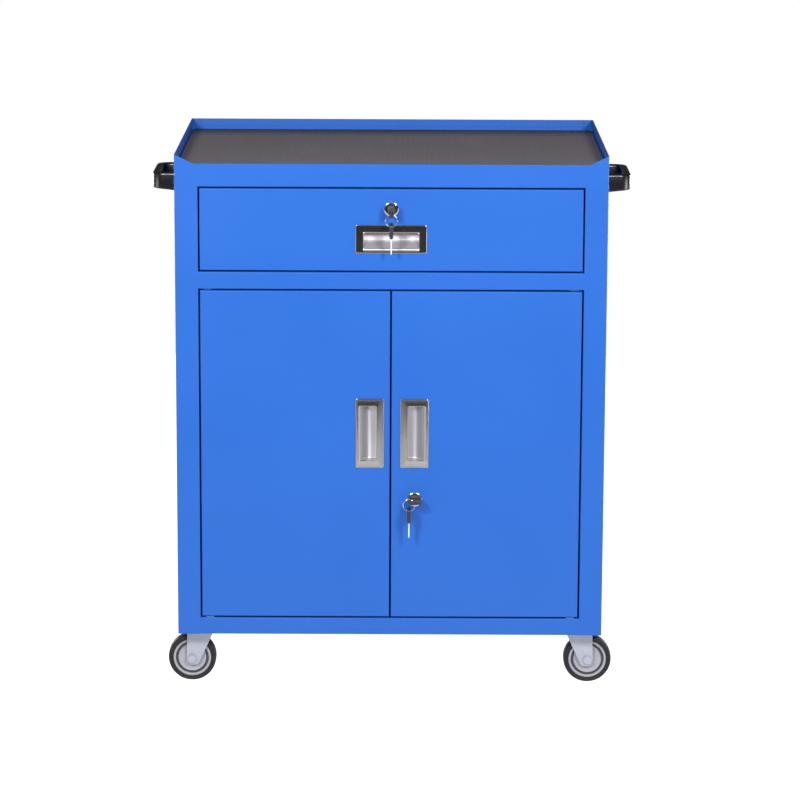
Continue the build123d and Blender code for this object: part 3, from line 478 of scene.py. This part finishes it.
def scattered_turns():
    """One template piece at every point of the base mesh, each turned by a random amount."""
    inputs = [
        ("Template", "NodeSocketObject"),
        ("Seed", "NodeSocketInt"),
        ("Material", "NodeSocketMaterial"),
    ]
    tree = Pattern("scattered_turns", inputs)
    settings = {"transform_space": "ORIGINAL"}
    template = tree.node("GeometryNodeObjectInfo", settings, {"Object": tree.input("Template")}, "Geometry")
    limits = {2: 0.0, 3: math.tau, "Seed": tree.input("Seed")}
    turn = tree.node("FunctionNodeRandomValue", {"data_type": "FLOAT"}, limits, 1)
    facing = tree.node("ShaderNodeCombineXYZ", None, {"Z": turn})
    values = {"Points": tree.input("Geometry"), "Instance": template, "Rotation": facing}
    copies = tree.node("GeometryNodeInstanceOnPoints", None, values)
    tree.end(copies, tree.input("Material"))
    return tree


ribs = row_of_ribs()
turned_copies = scattered_turns()


def copies_at(name, points, template_shape, material, seed=7):
    """Mesh of a template placed upright at each point, each one turned differently."""
    template_mesh = mesh_from(template_shape, name + "_template")
    template = bpy.data.objects.new(name + "_template", template_mesh)
    bpy.context.scene.collection.objects.link(template)
    base = bpy.data.meshes.new(name + "_points")
    base.from_pydata([tuple(point) for point in points], [], [])
    values = {"Template": template, "Seed": seed, "Material": material}
    mesh = turned_copies.mesh(name, values, base)
    bpy.data.objects.remove(template)
    return mesh


# ------------------------------------------------------------------ CAD pieces that only need a finish
def dress(material, *names):
    for name in names:
        data = nodes[name].data
        data.materials.clear()
        data.materials.append(material)


subparts = frame["record"]["subparts"]
dress(paint, *[item["node"] for item in subparts if item["material_slot"] == "blue_paint"])
dress(zinc, "shelf_clips", "drawer_slide_outers", "drawer_slide_middles", "drawer_slide_inners")
dress(zinc, "left_door_pins", "right_door_pins", "drawer_lock_cam", "door_lock_cam")
dress(plug_metal, "drawer_lock_plug", "door_lock_plug")
dress(nylon, "door_bushes")


# ------------------------------------------------------------------ joints between posts and rails
def weld_seams():
    """Filled and ground joints where the rails meet the posts."""
    seam_half, sunk, deep = 1.95 * mm, 0.05 * mm, 1.5 * mm
    shape = bmesh.new()
    for rail in ("top_rail", "middle_rail", "bottom_rail"):
        low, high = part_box(rail)
        for x in (low.x, high.x):
            size = Vector((2 * seam_half, deep - sunk, high.z - low.z - 3.0 * mm))
            centre = Vector((x, low.y + (sunk + deep) / 2, (low.z + high.z) / 2))
            place = Matrix.Translation(centre) @ Matrix.Diagonal((*size, 1.0))
            bmesh.ops.create_cube(shape, size=1.0, matrix=place)
    finish_piece("weld_seams", mesh_from(shape, "weld_seams"), paint, "cabinet", ())


weld_seams()


# ------------------------------------------------------------------ tray mat
def tray_mat():
    """Rubber mat with fine ribs that run from front to back."""
    rib_pitch, rib_width, rib_height = 4.0 * mm, 2.0 * mm, 0.5 * mm
    corner, edge_round, margin = 6.0 * mm, 0.4 * mm, 2.5 * mm
    low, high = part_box("tray_mat")
    ground = high.z - rib_height
    shape = bmesh.new()
    rings = []
    levels = ((low.z, edge_round), (low.z + edge_round, 0), (ground - edge_round, 0), (ground, edge_round))
    for level, inset in levels:
        outline = rounded_rectangle(
            low.x + inset, high.x - inset, low.y + inset, high.y - inset, corner - inset
        )
        rings.append([Vector((x, y, level)) for x, y in outline])
    join_rings(shape, rings)
    width = high.x - low.x - 2 * margin
    count = int(width / rib_pitch)
    values = {
        "Length": high.y - low.y - 2 * margin,
        "Pitch": rib_pitch,
        "Width": rib_width,
        "Height": rib_height,
        "Start": -(count - 1) * rib_pitch / 2,
        "Count": count,
        "Material": mat_rubber,
    }
    rib_mesh = ribs.mesh("tray_mat_ribs", values)
    rib_mesh.transform(Matrix.Translation(Vector((0, (low.y + high.y) / 2, ground))))
    sheet = mesh_from(shape, "tray_mat_sheet")
    finish_piece("tray_mat_sheet", sheet, mat_rubber, "cabinet", ["tray_mat"])
    finish_piece("tray_mat_ribs", rib_mesh, mat_rubber, "cabinet", ())


tray_mat()


# ------------------------------------------------------------------ side handles
def side_handle(side, sign):
    """Moulded D handle: two arms with broad feet and a round-cornered grip between them."""
    low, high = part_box(f"side_handle_{side}")
    root = min(abs(low.x), abs(high.x))
    tip = max(abs(low.x), abs(high.x))
    grip, arm, foot = 13.0 * mm, 15.0 * mm, 17.0 * mm
    corner = 12.5 * mm
    undercut = 4.0 * mm
    lift = 0.4 * mm
    top_round, bottom_round = 3.6 * mm, 1.8 * mm
    middle_x = tip - grip / 2
    near, far = low.y + arm / 2, high.y - arm / 2
    path = []
    arm_steps, corner_steps, grip_steps = 6, 8, 10
    for i in range(arm_steps):
        path.append((root + (middle_x - corner - root) * i / arm_steps, near))
    for i in range(corner_steps + 1):
        turn = math.pi / 2 * i / corner_steps
        path.append((middle_x - corner + corner * math.sin(turn), near + corner * (1 - math.cos(turn))))
    for i in range(1, grip_steps):
        path.append((middle_x, near + corner + (far - near - 2 * corner) * i / grip_steps))
    second_half = [(x, near + far - y) for x, y in reversed(path[: arm_steps + corner_steps + 1])]
    path += second_half
    shape = bmesh.new()
    rings = []
    count = len(path)
    for i, (x, y) in enumerate(path):
        before = Vector(path[max(i - 1, 0)])
        after = Vector(path[min(i + 1, count - 1)])
        along = (after - before).normalized()
        across = Vector((-along.y, along.x))
        reach = (x - root) / (middle_x - root)
        width = foot + (grip - foot) * min(1.0, reach * 1.6)
        bottom = low.z + undercut * reach
        top = high.z - lift * reach
        outline = rounded_outline(
            [
                (-width / 2, bottom, bottom_round),
                (width / 2, bottom, bottom_round),
                (width / 2, top, top_round),
                (-width / 2, top, top_round),
            ]
        )
        rings.append([Vector((sign * (x + u * across.x), y + u * across.y, z)) for u, z in outline])
    join_rings(shape, rings)
    mesh = mesh_from(shape, f"side_handle_{side}_moulding")
    replaced = [f"side_handle_{side}"]
    finish_piece(mesh.name, mesh, handle_plastic, "cabinet", replaced, 50.0)


side_handle("left", -1)
side_handle("right", 1)


# ------------------------------------------------------------------ recessed pulls
def recessed_pull(node, body, upwards):
    """Pressed pull: plate, rolled rim round the window, ramp and finger space behind."""
    low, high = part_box(node)
    middle = (low + high) / 2
    face = low.y
    across = {"up": (0, 0, 1), "right": (1, 0, 0), "left": (-1, 0, 0)}[upwards]
    along = (1, 0, 0) if upwards == "up" else (0, 0, 1)
    across, along = Vector(across), Vector(along)
    plate_half, plate_long, plate = 22.5, 56.0, 1.6
    window_low, window_high, window_half = -17.5, 10.5, 44.0
    undercut, wall, lip, depth = 8.0, 1.2, 1.2, 17.1
    floor = depth - wall
    ramp_foot = (window_low + window_high) / 2
    rim, rim_rise = 1.3, 0.5

    def ramp(level):
        return window_low + (ramp_foot - window_low) * max(0.0, level - plate) / (floor - plate)

    behind = window_high + undercut
    levels = [(ramp_foot + 1.5, behind - 2.0, window_half - 2.0, 1.5, floor)]
    levels.append((ramp_foot - 0.2, behind - 0.5, window_half - 0.6, 2.5, floor - 0.6))
    for level in (12.0, 8.0, 5.0, plate + lip + 1.0):
        levels.append((ramp(level), behind, window_half, 3.0, level))
    inner_lip = plate + lip
    levels.append((ramp(inner_lip + 0.4), behind - 0.6, window_half, 3.0, inner_lip))
    levels.append((ramp(inner_lip), window_high + 0.4, window_half, 2.6, inner_lip))
    levels.append((window_low, window_high, window_half, 2.5, inner_lip - 0.5))
    levels.append((window_low, window_high, window_half, 2.5, 0.2))
    for turn in (0.25, 0.5, 0.75):
        out = rim * (1 - math.cos(math.pi * turn)) / 2
        rise = rim_rise * math.sin(math.pi * turn)
        levels.append((window_low - out, window_high + out, window_half + out, 2.5 + out, -rise))
    levels.append((window_low - rim, window_high + rim, window_half + rim, 2.5 + rim, 0.05))
    levels.append((window_low - rim - 0.5, window_high + rim + 0.5, window_half + rim + 0.5, 4.0, 0.12))
    edge = 1.1
    levels.append((-plate_half + edge + 0.6, plate_half - edge - 0.6, plate_long - edge - 0.6, 1.6, 0.0))
    for turn in (0.0, 0.33, 0.66, 1.0):
        inset = edge * (1 - math.sin(turn * math.pi / 2))
        sunk = edge * (1 - math.cos(turn * math.pi / 2))
        levels.append((-plate_half + inset, plate_half - inset, plate_long - inset, 2.2, sunk))
    levels.append((-plate_half, plate_half, plate_long, 2.2, plate))
    outer = (window_low - wall, behind + wall, window_half + wall, 3.5)
    levels.append((*outer, plate))
    levels.append((*outer, depth - 1.0))
    levels.append((outer[0] + 1.0, outer[1] - 1.0, outer[2] - 1.0, 2.5, depth))
    shape = bmesh.new()
    rings = []
    for left, right, half, radius, level in levels:
        ring = []
        for u, v in rounded_rectangle(left, right, -half, half, radius, 4):
            point = Vector((middle.x, face + level * mm, middle.z))
            ring.append(point + across * u * mm + along * v * mm)
        rings.append(ring)
    join_rings(shape, rings)
    mesh = mesh_from(shape, f"{node}_pressing")
    finish_piece(mesh.name, mesh, nickel, body, [node], 32.0)


recessed_pull("drawer_pull", "drawer", "up")
recessed_pull("left_door_pull", "left_door", "right")
recessed_pull("right_door_pull", "right_door", "left")


# ------------------------------------------------------------------ locks
def lock_case(node, body):
    """Cam lock: rolled bezel, threaded barrel and hexagon nut."""
    low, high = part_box(node)
    bezel_height, barrel_end = 3.5, 23.7
    centre = Vector(((low.x + high.x) / 2, low.y + bezel_height * mm, (low.z + high.z) / 2))
    place = axes_matrix(centre, (1, 0, 0), (0, 0, 1))
    bore, barrel, bezel = 6.08, 9.35, 11.5
    profile = [(bore, -barrel_end), (bore, 2.2), (6.6, 2.75), (8.2, 2.5), (9.0, 2.75), (9.5, 3.25)]
    profile += [(10.1, 3.5), (10.7, 3.42), (11.2, 3.05), (11.45, 2.4), (bezel, 1.6), (bezel, 0.0)]
    profile += [(barrel, 0.0), (barrel, -2.0)]
    pitch = 1.3
    turns = int((barrel_end - 4.0) / pitch)
    for i in range(turns):
        level = -2.6 - i * pitch
        profile += [(barrel, level), (barrel, level - pitch * 0.25), (barrel - 0.55, level - pitch * 0.6)]
    profile += [(barrel - 0.3, -barrel_end + 0.4), (barrel - 0.8, -barrel_end)]
    shape = bmesh.new()
    lathe(shape, profile, place, 72)
    case = mesh_from(shape, f"{node}_case")
    finish_piece(case.name, case, chrome, body, [node], 30.0)
    nut = bmesh.new()
    nut_profile = [(9.5, -1.25), (12.6, -1.25), (13.0, -1.6), (13.0, -3.8), (12.6, -4.2), (9.5, -4.2)]
    hexagon(nut, nut_profile, place)
    ring = mesh_from(nut, f"{node}_nut")
    finish_piece(ring.name, ring, zinc, body, (), 25.0)


def hexagon(shape, profile, place):
    """Six-sided nut or head with its corners turned down; radii are half the width across flats."""
    rings = []
    steps = 48
    widest = max(radius for radius, _ in profile)
    for radius, height in profile:
        if radius < 1e-4:
            rings.append([place @ Vector((0, 0, height * mm))])
            continue
        ring = []
        for i in range(steps):
            turn = math.tau * i / steps
            flat_turn = (turn + math.pi / 6) % (math.pi / 3) - math.pi / 6
            corner = radius / math.cos(flat_turn)
            six_sided = radius > widest * 0.8
            reach = min(corner, widest * 1.12 - (widest - radius)) if six_sided else radius
            ring.append(place @ (Vector((reach * math.cos(turn), reach * math.sin(turn), height)) * mm))
        rings.append(ring)
    join_rings(shape, rings, profile[0][0] > 1e-4)


lock_case("drawer_lock_body", "drawer")
lock_case("door_lock_body", "right_door")


# ------------------------------------------------------------------ keys and split rings
bow_length, bow_width, bow_thickness = 24.0, 22.0, 6.0
blade_length, blade_width, blade_thickness = 26.0, 7.6, 1.8


def key_bow(place, name, body, node):
    """Moulded bow with a slot for the ring and a sunken panel on each face."""
    shape = bmesh.new()
    half = bow_thickness / 2
    round_off, panel_depth = 1.3, 0.35

    def outer(inset, level):
        outline = rounded_rectangle(
            inset, bow_length - inset, inset - bow_width / 2, bow_width / 2 - inset, 5.0 - inset * 0.5, 6
        )
        return [place @ (Vector((x, y, level)) * mm) for x, y in outline]

    def inner(grow, level):
        outline = rounded_rectangle(15.0 - grow, 20.0 + grow, -7.5 - grow, 7.5 + grow, 2.49 + grow, 6)
        return [place @ (Vector((x, y, level)) * mm) for x, y in outline]

    rings = []
    for side in (-1, 1):
        face, panel = side * half, side * (half - panel_depth)
        rows = [outer(0, side * (half - round_off)), outer(0.4, side * (half - 0.4)), outer(1.3, face)]
        rows += [outer(2.2, face), outer(2.6, panel), inner(1.4, panel), inner(1.0, face), inner(0.3, face)]
        rows += [inner(0, side * (half - 0.4))]
        rings += rows if side > 0 else rows[::-1]
    join_rings(shape, rings, closed=True)
    mesh = mesh_from(shape, name)
    finish_piece(name, mesh, key_plastic, body, [node], 40.0)


def key_blade(place, name, body):
    """Blade with a milled groove on each side and four cuts along one edge."""
    cuts = (1.6, 0.8, 2.0, 1.2)
    first_cut, tip = 4.5, 3.0
    pitch = (blade_length - 7.0) / len(cuts)
    half_width, half = blade_width / 2, blade_thickness / 2
    stations = [(-0.8, -half_width, half_width), (first_cut, -half_width, half_width)]
    for i, cut in enumerate(cuts):
        start = first_cut + i * pitch
        stations.append((start + pitch * 0.38, cut - half_width, half_width))
        stations.append((start + pitch * 0.62, cut - half_width, half_width))
        if i < len(cuts) - 1:
            stations.append((start + pitch, -half_width, half_width))
    stations.append((blade_length - tip, -half_width, half_width))
    stations.append((blade_length - 0.3, -0.5, 0.5))
    shape = bmesh.new()
    rings = []
    groove = 0.35
    for reach, low, high in stations:
        cut_in = groove if reach < blade_length - tip - 0.1 else 0.0
        top = min(2.6, high * 0.7)
        floor = min(0.8, high * 0.3)
        edge = 0.25
        side = [(low, half - edge), (low + edge, half), (floor - 0.2, half), (floor, half - cut_in)]
        side += [(top, half - cut_in), (top + 0.2, half), (high - edge, half), (high, half - edge)]
        other = [(y, -z) for y, z in reversed(side)]
        rings.append([place @ (Vector((-reach, y, z)) * mm) for y, z in side + other])
    join_rings(shape, rings)
    mesh = mesh_from(shape, name)
    finish_piece(name, mesh, blade_nickel, body, (), 25.0)


def split_ring(node, body):
    """Flat spring ring wound twice."""
    low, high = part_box(node)
    centre = (low + high) / 2
    wire = (high.y - low.y) / 4
    radius = (high.x - low.x) / 2 - 2 * wire
    turns, steps = 1.97, 110
    points = []
    for i in range(steps + 1):
        share = i / steps
        turn = math.tau * turns * share + math.pi * 0.25
        shift = (share - 0.5) * 2 * wire
        offset = Vector((math.cos(turn) * radius, 0, math.sin(turn) * radius))
        points.append(centre + offset + Vector((0, shift, 0)))
    shape = bmesh.new()
    tube(shape, points, wire * 0.98, 10)
    mesh = mesh_from(shape, f"{node}_wire")
    finish_piece(mesh.name, mesh, chrome, body, [node])


for lock in ("drawer", "door"):
    low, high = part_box(f"{lock}_key")
    upright = high.x - low.x < bow_width * mm * 0.8
    shoulder = Vector(((low.x + high.x) / 2, low.y + bow_length * mm, (low.z + high.z) / 2))
    thick = Vector((1, 0, 0)) if upright else Vector((0, 0, 1))
    outwards = Vector((0, -1, 0))
    key_place = axes_matrix(shoulder, outwards, thick.cross(outwards))
    key_bow(key_place, f"{lock}_key_bow", f"{lock}_key", f"{lock}_key")
    key_blade(key_place, f"{lock}_key_blade", f"{lock}_key")
    split_ring(f"{lock}_key_ring", f"{lock}_key_ring")
    low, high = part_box(f"{lock}_spare_key")
    middle = (low + high) / 2
    spare_place = axes_matrix((middle.x, middle.y, high.z - bow_length * mm), (0, 0, 1), (0, -1, 0))
    key_bow(spare_place, f"{lock}_spare_key_bow", f"{lock}_spare_key", f"{lock}_spare_key")
    key_blade(spare_place, f"{lock}_spare_key_blade", f"{lock}_spare_key")


# ------------------------------------------------------------------ casters
def wheel_place(corner):
    """Wheel centre with its axle along the local z axis."""
    low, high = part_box(f"caster_{corner}_tyre")
    return axes_matrix((low + high) / 2, (0, 0, 1), (1, 0, 0))


def mirrored(profile):
    """A profile given for one side, completed with the other side."""
    return profile + [(radius, -height) for radius, height in reversed(profile)]


def caster_wheel(corner):
    """Tyre with a bead groove, wheel centre with five bosses, and a near-black ring on each side at the bottom of
    the groove between rim and disc, as painted shade.
    """
    place = wheel_place(corner)
    body = f"caster_{corner}_wheel"
    low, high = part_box(f"caster_{corner}_tyre")
    radius, half = (high.z - low.z) / 2 / mm, 12.0
    tyre_thickness = 8.0
    seat = radius - tyre_thickness
    inner = seat + 0.05
    tyre = [(inner, half - 0.3), (inner + 0.5, half), (inner + 2.0, half), (inner + 2.4, half - 0.35)]
    tyre += [(inner + 3.0, half - 0.35), (inner + 3.6, half)]
    round_steps = 7
    shoulder = 4.4
    for i in range(round_steps + 1):
        turn = math.pi / 2 * i / round_steps
        reach = radius - 0.1 - shoulder + shoulder * math.sin(turn)
        tyre.append((reach, half - shoulder + shoulder * math.cos(turn)))
    tyre += [(radius - 0.05, half * 0.35), (radius - 0.02, 0.4), (radius, 0.15)]
    shape = bmesh.new()
    lathe(shape, mirrored(tyre), place, 96)
    mesh = mesh_from(shape, f"caster_{corner}_tyre_band")
    finish_piece(mesh.name, mesh, rubber, body, [f"caster_{corner}_tyre"], 30.0)

    rim = [(26.6, 6.2), (26.6, 10.6), (27.0, 11.2), (27.7, 11.45), (28.9, 11.45)]
    rim += [(seat - 0.5, 11.2), (seat - 0.05, 10.6)]
    centre_half = 12.45
    disc = [(4.1, centre_half), (8.6, centre_half), (9.0, centre_half - 0.4), (9.4, centre_half - 1.0)]
    disc += [(19.0, centre_half - 1.6), (20.6, centre_half - 1.2), (21.6, centre_half - 0.8)]
    disc += [(22.2, centre_half - 1.2), (22.6, centre_half - 2.2), (22.6, 6.2)]
    shape = bmesh.new()
    lathe(shape, mirrored(disc + rim), place, 96)
    for turn in range(5):
        angle = math.tau * (turn + 0.35) / 5
        for side in (-1, 1):
            spot = Vector((math.cos(angle) * 14.5, math.sin(angle) * 14.5, side * (centre_half - 1.5))) * mm
            boss = [(0, 0.75), (0.9, 0.75), (1.3, 0.45), (1.4, -0.4), (0, -0.4)]
            flip = Matrix.Diagonal((1, 1, side, 1))
            lathe(shape, boss, place @ Matrix.Translation(spot) @ flip, 16)
    mesh = mesh_from(shape, f"caster_{corner}_hub_moulding")
    finish_piece(mesh.name, mesh, wheel_plastic, body, [f"caster_{corner}_hub"], 30.0)

    # Painted shade: a near-black ring laid in each groove between rim and disc, where the groove is in shadow.
    groove_shade_profile = [(22.75, 6.3), (22.75, 8.2), (23.4, 8.6), (25.8, 8.6), (26.45, 8.2), (26.45, 6.3)]
    shape = bmesh.new()
    for side in (-1, 1):
        lathe(shape, groove_shade_profile, place @ Matrix.Diagonal((1, 1, side, 1)), 96)
    mesh = mesh_from(shape, f"caster_{corner}_seal_rings")
    finish_piece(mesh.name, mesh, groove_shade_material, body, (), 30.0)


def caster_axle(corner):
    """Axle bolt with a chamfered head on one side and a lock nut on the other."""
    low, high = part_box(f"caster_{corner}_axle")
    centre = (low + high) / 2
    half = (high.y - low.y) / 2 / mm
    place = axes_matrix(centre, (0, 0, 1), (1, 0, 0))
    body = f"caster_{corner}_swivel"
    head = 4.5
    grip = half - head
    shape = bmesh.new()
    washer = [(3.9, grip + 0.02), (7.2, grip + 0.02), (7.4, grip + 0.3)]
    washer += [(7.2, grip + 0.7), (3.9, grip + 0.7)]
    nut = [(0, grip), (3.9, grip + 0.7), (6.3, grip + 0.7), (6.3, half - 0.9), (5.9, half - 0.45)]
    nut += [(3.2, half - 0.45), (3.0, half - 0.1), (2.6, half), (0, half)]
    for side in (-1, 1):
        turned = place @ Matrix.Diagonal((1, 1, side, 1))
        lathe(shape, washer, turned, 32)
        hexagon(shape, nut, turned)
    lathe(shape, [(0, -grip), (3.95, -grip), (3.95, grip), (0, grip)], place, 32)
    mesh = mesh_from(shape, f"caster_{corner}_axle_bolt")
    finish_piece(mesh.name, mesh, fork_zinc, body, [f"caster_{corner}_axle"], 25.0)


def caster_rivets():
    """Swivel rivets with domed heads, one through each caster."""
    low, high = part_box("caster_king_pins")
    shape = bmesh.new()
    total = (high.z - low.z) / mm
    head, shank, thick, top = 8.4, 4.95, 3.0, 1.2
    profile = [(0, 0.15)]
    for i in range(1, 7):
        turn = math.pi / 2 * i / 6
        profile.append((head - 1.5 + 1.5 * math.sin(turn), 0.15 + 1.5 * (1 - math.cos(turn))))
    profile += [(head, thick - 0.1), (shank, thick), (shank, total - top), (head - 0.6, total - top)]
    profile += [(head - 0.4, total - 0.3), (head - 1.2, total), (0, total)]
    for corner in corners:
        x, y, _ = joint_place[f"caster_{corner}_swivel_turn"]
        lathe(shape, profile, Matrix.Translation((x, y, low.z)), 40, closed=False)
    mesh = mesh_from(shape, "caster_swivel_rivets")
    finish_piece(mesh.name, mesh, zinc, "cabinet", ["caster_king_pins"], 30.0)


for corner in corners:
    caster_wheel(corner)
    caster_axle(corner)
    fork, swivel = f"caster_{corner}_fork", f"caster_{corner}_swivel"
    softened_copy(fork, f"{fork}_pressing", 0.5, fork_zinc, swivel)
softened_copy("caster_plates", "caster_top_plates", 0.4, fork_zinc, "cabinet")
caster_rivets()
softened_copy("door_catches", "door_magnet_catches", 1.0, magnet_plastic, "cabinet", 3)


# ------------------------------------------------------------------ bolts and screws
def caster_bolts():
    """Four hexagon bolts with washers and nuts through each caster plate."""
    low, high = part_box("caster_bolts")
    shape = bmesh.new()
    total = (high.z - low.z) / mm
    head_height, clamped, nut_height = 4.0, 3.8, 5.0
    place = Matrix.Identity(4)
    head = [(0, 0.1), (4.2, 0.1), (4.8, 0.5), (5.0, 0.9), (5.0, head_height - 0.7), (0, head_height - 0.7)]
    hexagon(shape, head, place)
    flange = [(0, head_height - 0.7), (6.1, head_height - 0.7), (6.2, head_height - 0.35)]
    flange += [(6.1, head_height), (0, head_height)]
    lathe(shape, flange, place, 24)
    shank = [(0, head_height), (2.95, head_height), (2.95, total - 0.6)]
    shank += [(2.5, total - 0.05), (0, total - 0.05)]
    lathe(shape, shank, place, 20)
    nut_low = head_height + clamped
    nut_high = nut_low + nut_height
    nut = [(0, nut_low), (5.0, nut_low), (5.0, nut_high - 1.0), (4.6, nut_high - 0.4), (0, nut_high - 0.4)]
    hexagon(shape, nut, place)
    points = bolt_points("caster_bolts", low.z)
    mesh = copies_at("caster_plate_bolts", points, shape, zinc)
    finish_piece("caster_plate_bolts", mesh, zinc, "cabinet", ["caster_bolts"], 25.0)


def bolt_points(node, level):
    """Centres of the separate bolts of a group, found from its mesh."""
    shape = bmesh.new()
    shape.from_mesh(nodes[node].data)
    bmesh.ops.remove_doubles(shape, verts=shape.verts, dist=0.002 * mm)
    left = set(shape.verts)
    centres = []
    while left:
        start = left.pop()
        group, edge_of_group = {start}, [start]
        while edge_of_group:
            vert = edge_of_group.pop()
            for edge in vert.link_edges:
                other = edge.other_vert(vert)
                if other not in group:
                    group.add(other)
                    edge_of_group.append(other)
        left -= group
        xs = [vert.co.x for vert in group]
        ys = [vert.co.y for vert in group]
        centres.append(((min(xs) + max(xs)) / 2, (min(ys) + max(ys)) / 2, level))
    shape.free()
    return sorted(centres)


caster_bolts()
softened_copy("handle_screws", "handle_pan_screws", 1.2, zinc, "cabinet", 3)


# ------------------------------------------------------------------ camera, lights and floor
def look_at(obj, target):
    obj.rotation_euler = (Vector(target) - obj.location).to_track_quat("-Z", "Y").to_euler()


def soft_light(name, place, target, width, height, power):
    lamp = bpy.data.lights.new(name, "AREA")
    lamp.shape = "RECTANGLE"
    lamp.size = width
    lamp.size_y = height
    lamp.energy = power
    holder = bpy.data.objects.new(name, lamp)
    holder.location = place
    holder.visible_camera = False
    bpy.context.scene.collection.objects.link(holder)
    look_at(holder, target)


def place_camera():
    """Long lens in front of the object, a little above it and tilted down."""
    distance, height, sideways = 5.240, 1.564, 0.0148
    tilt, roll = 11.753, 0.25
    lens = bpy.data.cameras.new("camera")
    lens.lens = 152.06
    lens.sensor_width = 36.0
    lens.clip_end = 100.0
    camera = bpy.data.objects.new("camera", lens)
    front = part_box("top_rail")[0].y
    turned = Matrix.Rotation(math.radians(90 - tilt), 4, "X") @ Matrix.Rotation(math.radians(roll), 4, "Z")
    camera.matrix_world = Matrix.Translation((sideways, front - distance, height)) @ turned
    bpy.context.scene.collection.objects.link(camera)
    bpy.context.scene.camera = camera


def lay_floor():
    """Pale floor that ends a little way in front of the object and behind it."""
    near, far, half = -2.15, 2.6, 4.0
    outline = [(-half, near, 0), (half, near, 0), (half, far, 0), (-half, far, 0)]
    mesh = bpy.data.meshes.new("studio_floor")
    mesh.from_pydata(outline, [], [(0, 1, 2, 3)])
    mesh.materials.append(floor_paint())
    floor = bpy.data.objects.new("studio_floor", mesh)
    bpy.context.scene.collection.objects.link(floor)


def surround():
    """A white backdrop; what lights the object is dim, brighter in front of it and above the horizon."""
    world = bpy.data.worlds.new("studio_world")
    bpy.context.scene.world = world
    world.use_nodes = True
    tree = Tree(world.node_tree)
    tree.tree.nodes.clear()
    place = tree.node("ShaderNodeTexCoord", output="Generated")
    height = tree.node("ShaderNodeSeparateXYZ", None, [place], "Z")
    backwards = tree.node("ShaderNodeSeparateXYZ", None, [place], "Y")
    values = {"Value": height, "From Min": 0.08, "From Max": 0.32}
    above = tree.node("ShaderNodeMapRange", None, values)
    values = {"Value": backwards, "From Min": -0.1, "From Max": -0.7}
    front = tree.node("ShaderNodeMapRange", None, values)
    strength = above * (front * 0.26 + 0.10) + 0.02
    is_camera = tree.node("ShaderNodeLightPath", output="Is Camera Ray")
    values = {"Color": (0.96, 0.98, 1.0, 1.0), "Strength": strength}
    glow = tree.node("ShaderNodeBackground", None, values)
    values = {"Color": (1.0, 1.0, 1.0, 1.0), "Strength": 1.0}
    plain = tree.node("ShaderNodeBackground", None, values)
    mixed = tree.node("ShaderNodeMixShader", None, [is_camera, glow, plain])
    tree.node("ShaderNodeOutputWorld", None, [mixed])


def light_the_object():
    """On each side a key in front, a low card for the pulls and a fill behind."""
    for side, sign, card in (("left", -1, 8), ("right", 1, 15)):
        soft_light(f"{side}_key", (sign * 1.1, -2.3, 1.75), (0, -0.2, 1.35), 0.45, 0.6, 65)
        soft_light(f"{side}_card", (sign * 2.4, -0.6, 0.35), (0, -0.2, 0.45), 0.9, 0.5, card)
        soft_light(f"{side}_fill", (sign * 2.3, 2.4, 0.6), (0, 0.2, 0.5), 1.2, 0.8, 34)


place_camera()
lay_floor()
surround()
light_the_object()
bpy.context.scene.view_settings.view_transform = "Standard"
bpy.context.scene.view_settings.look = "None"
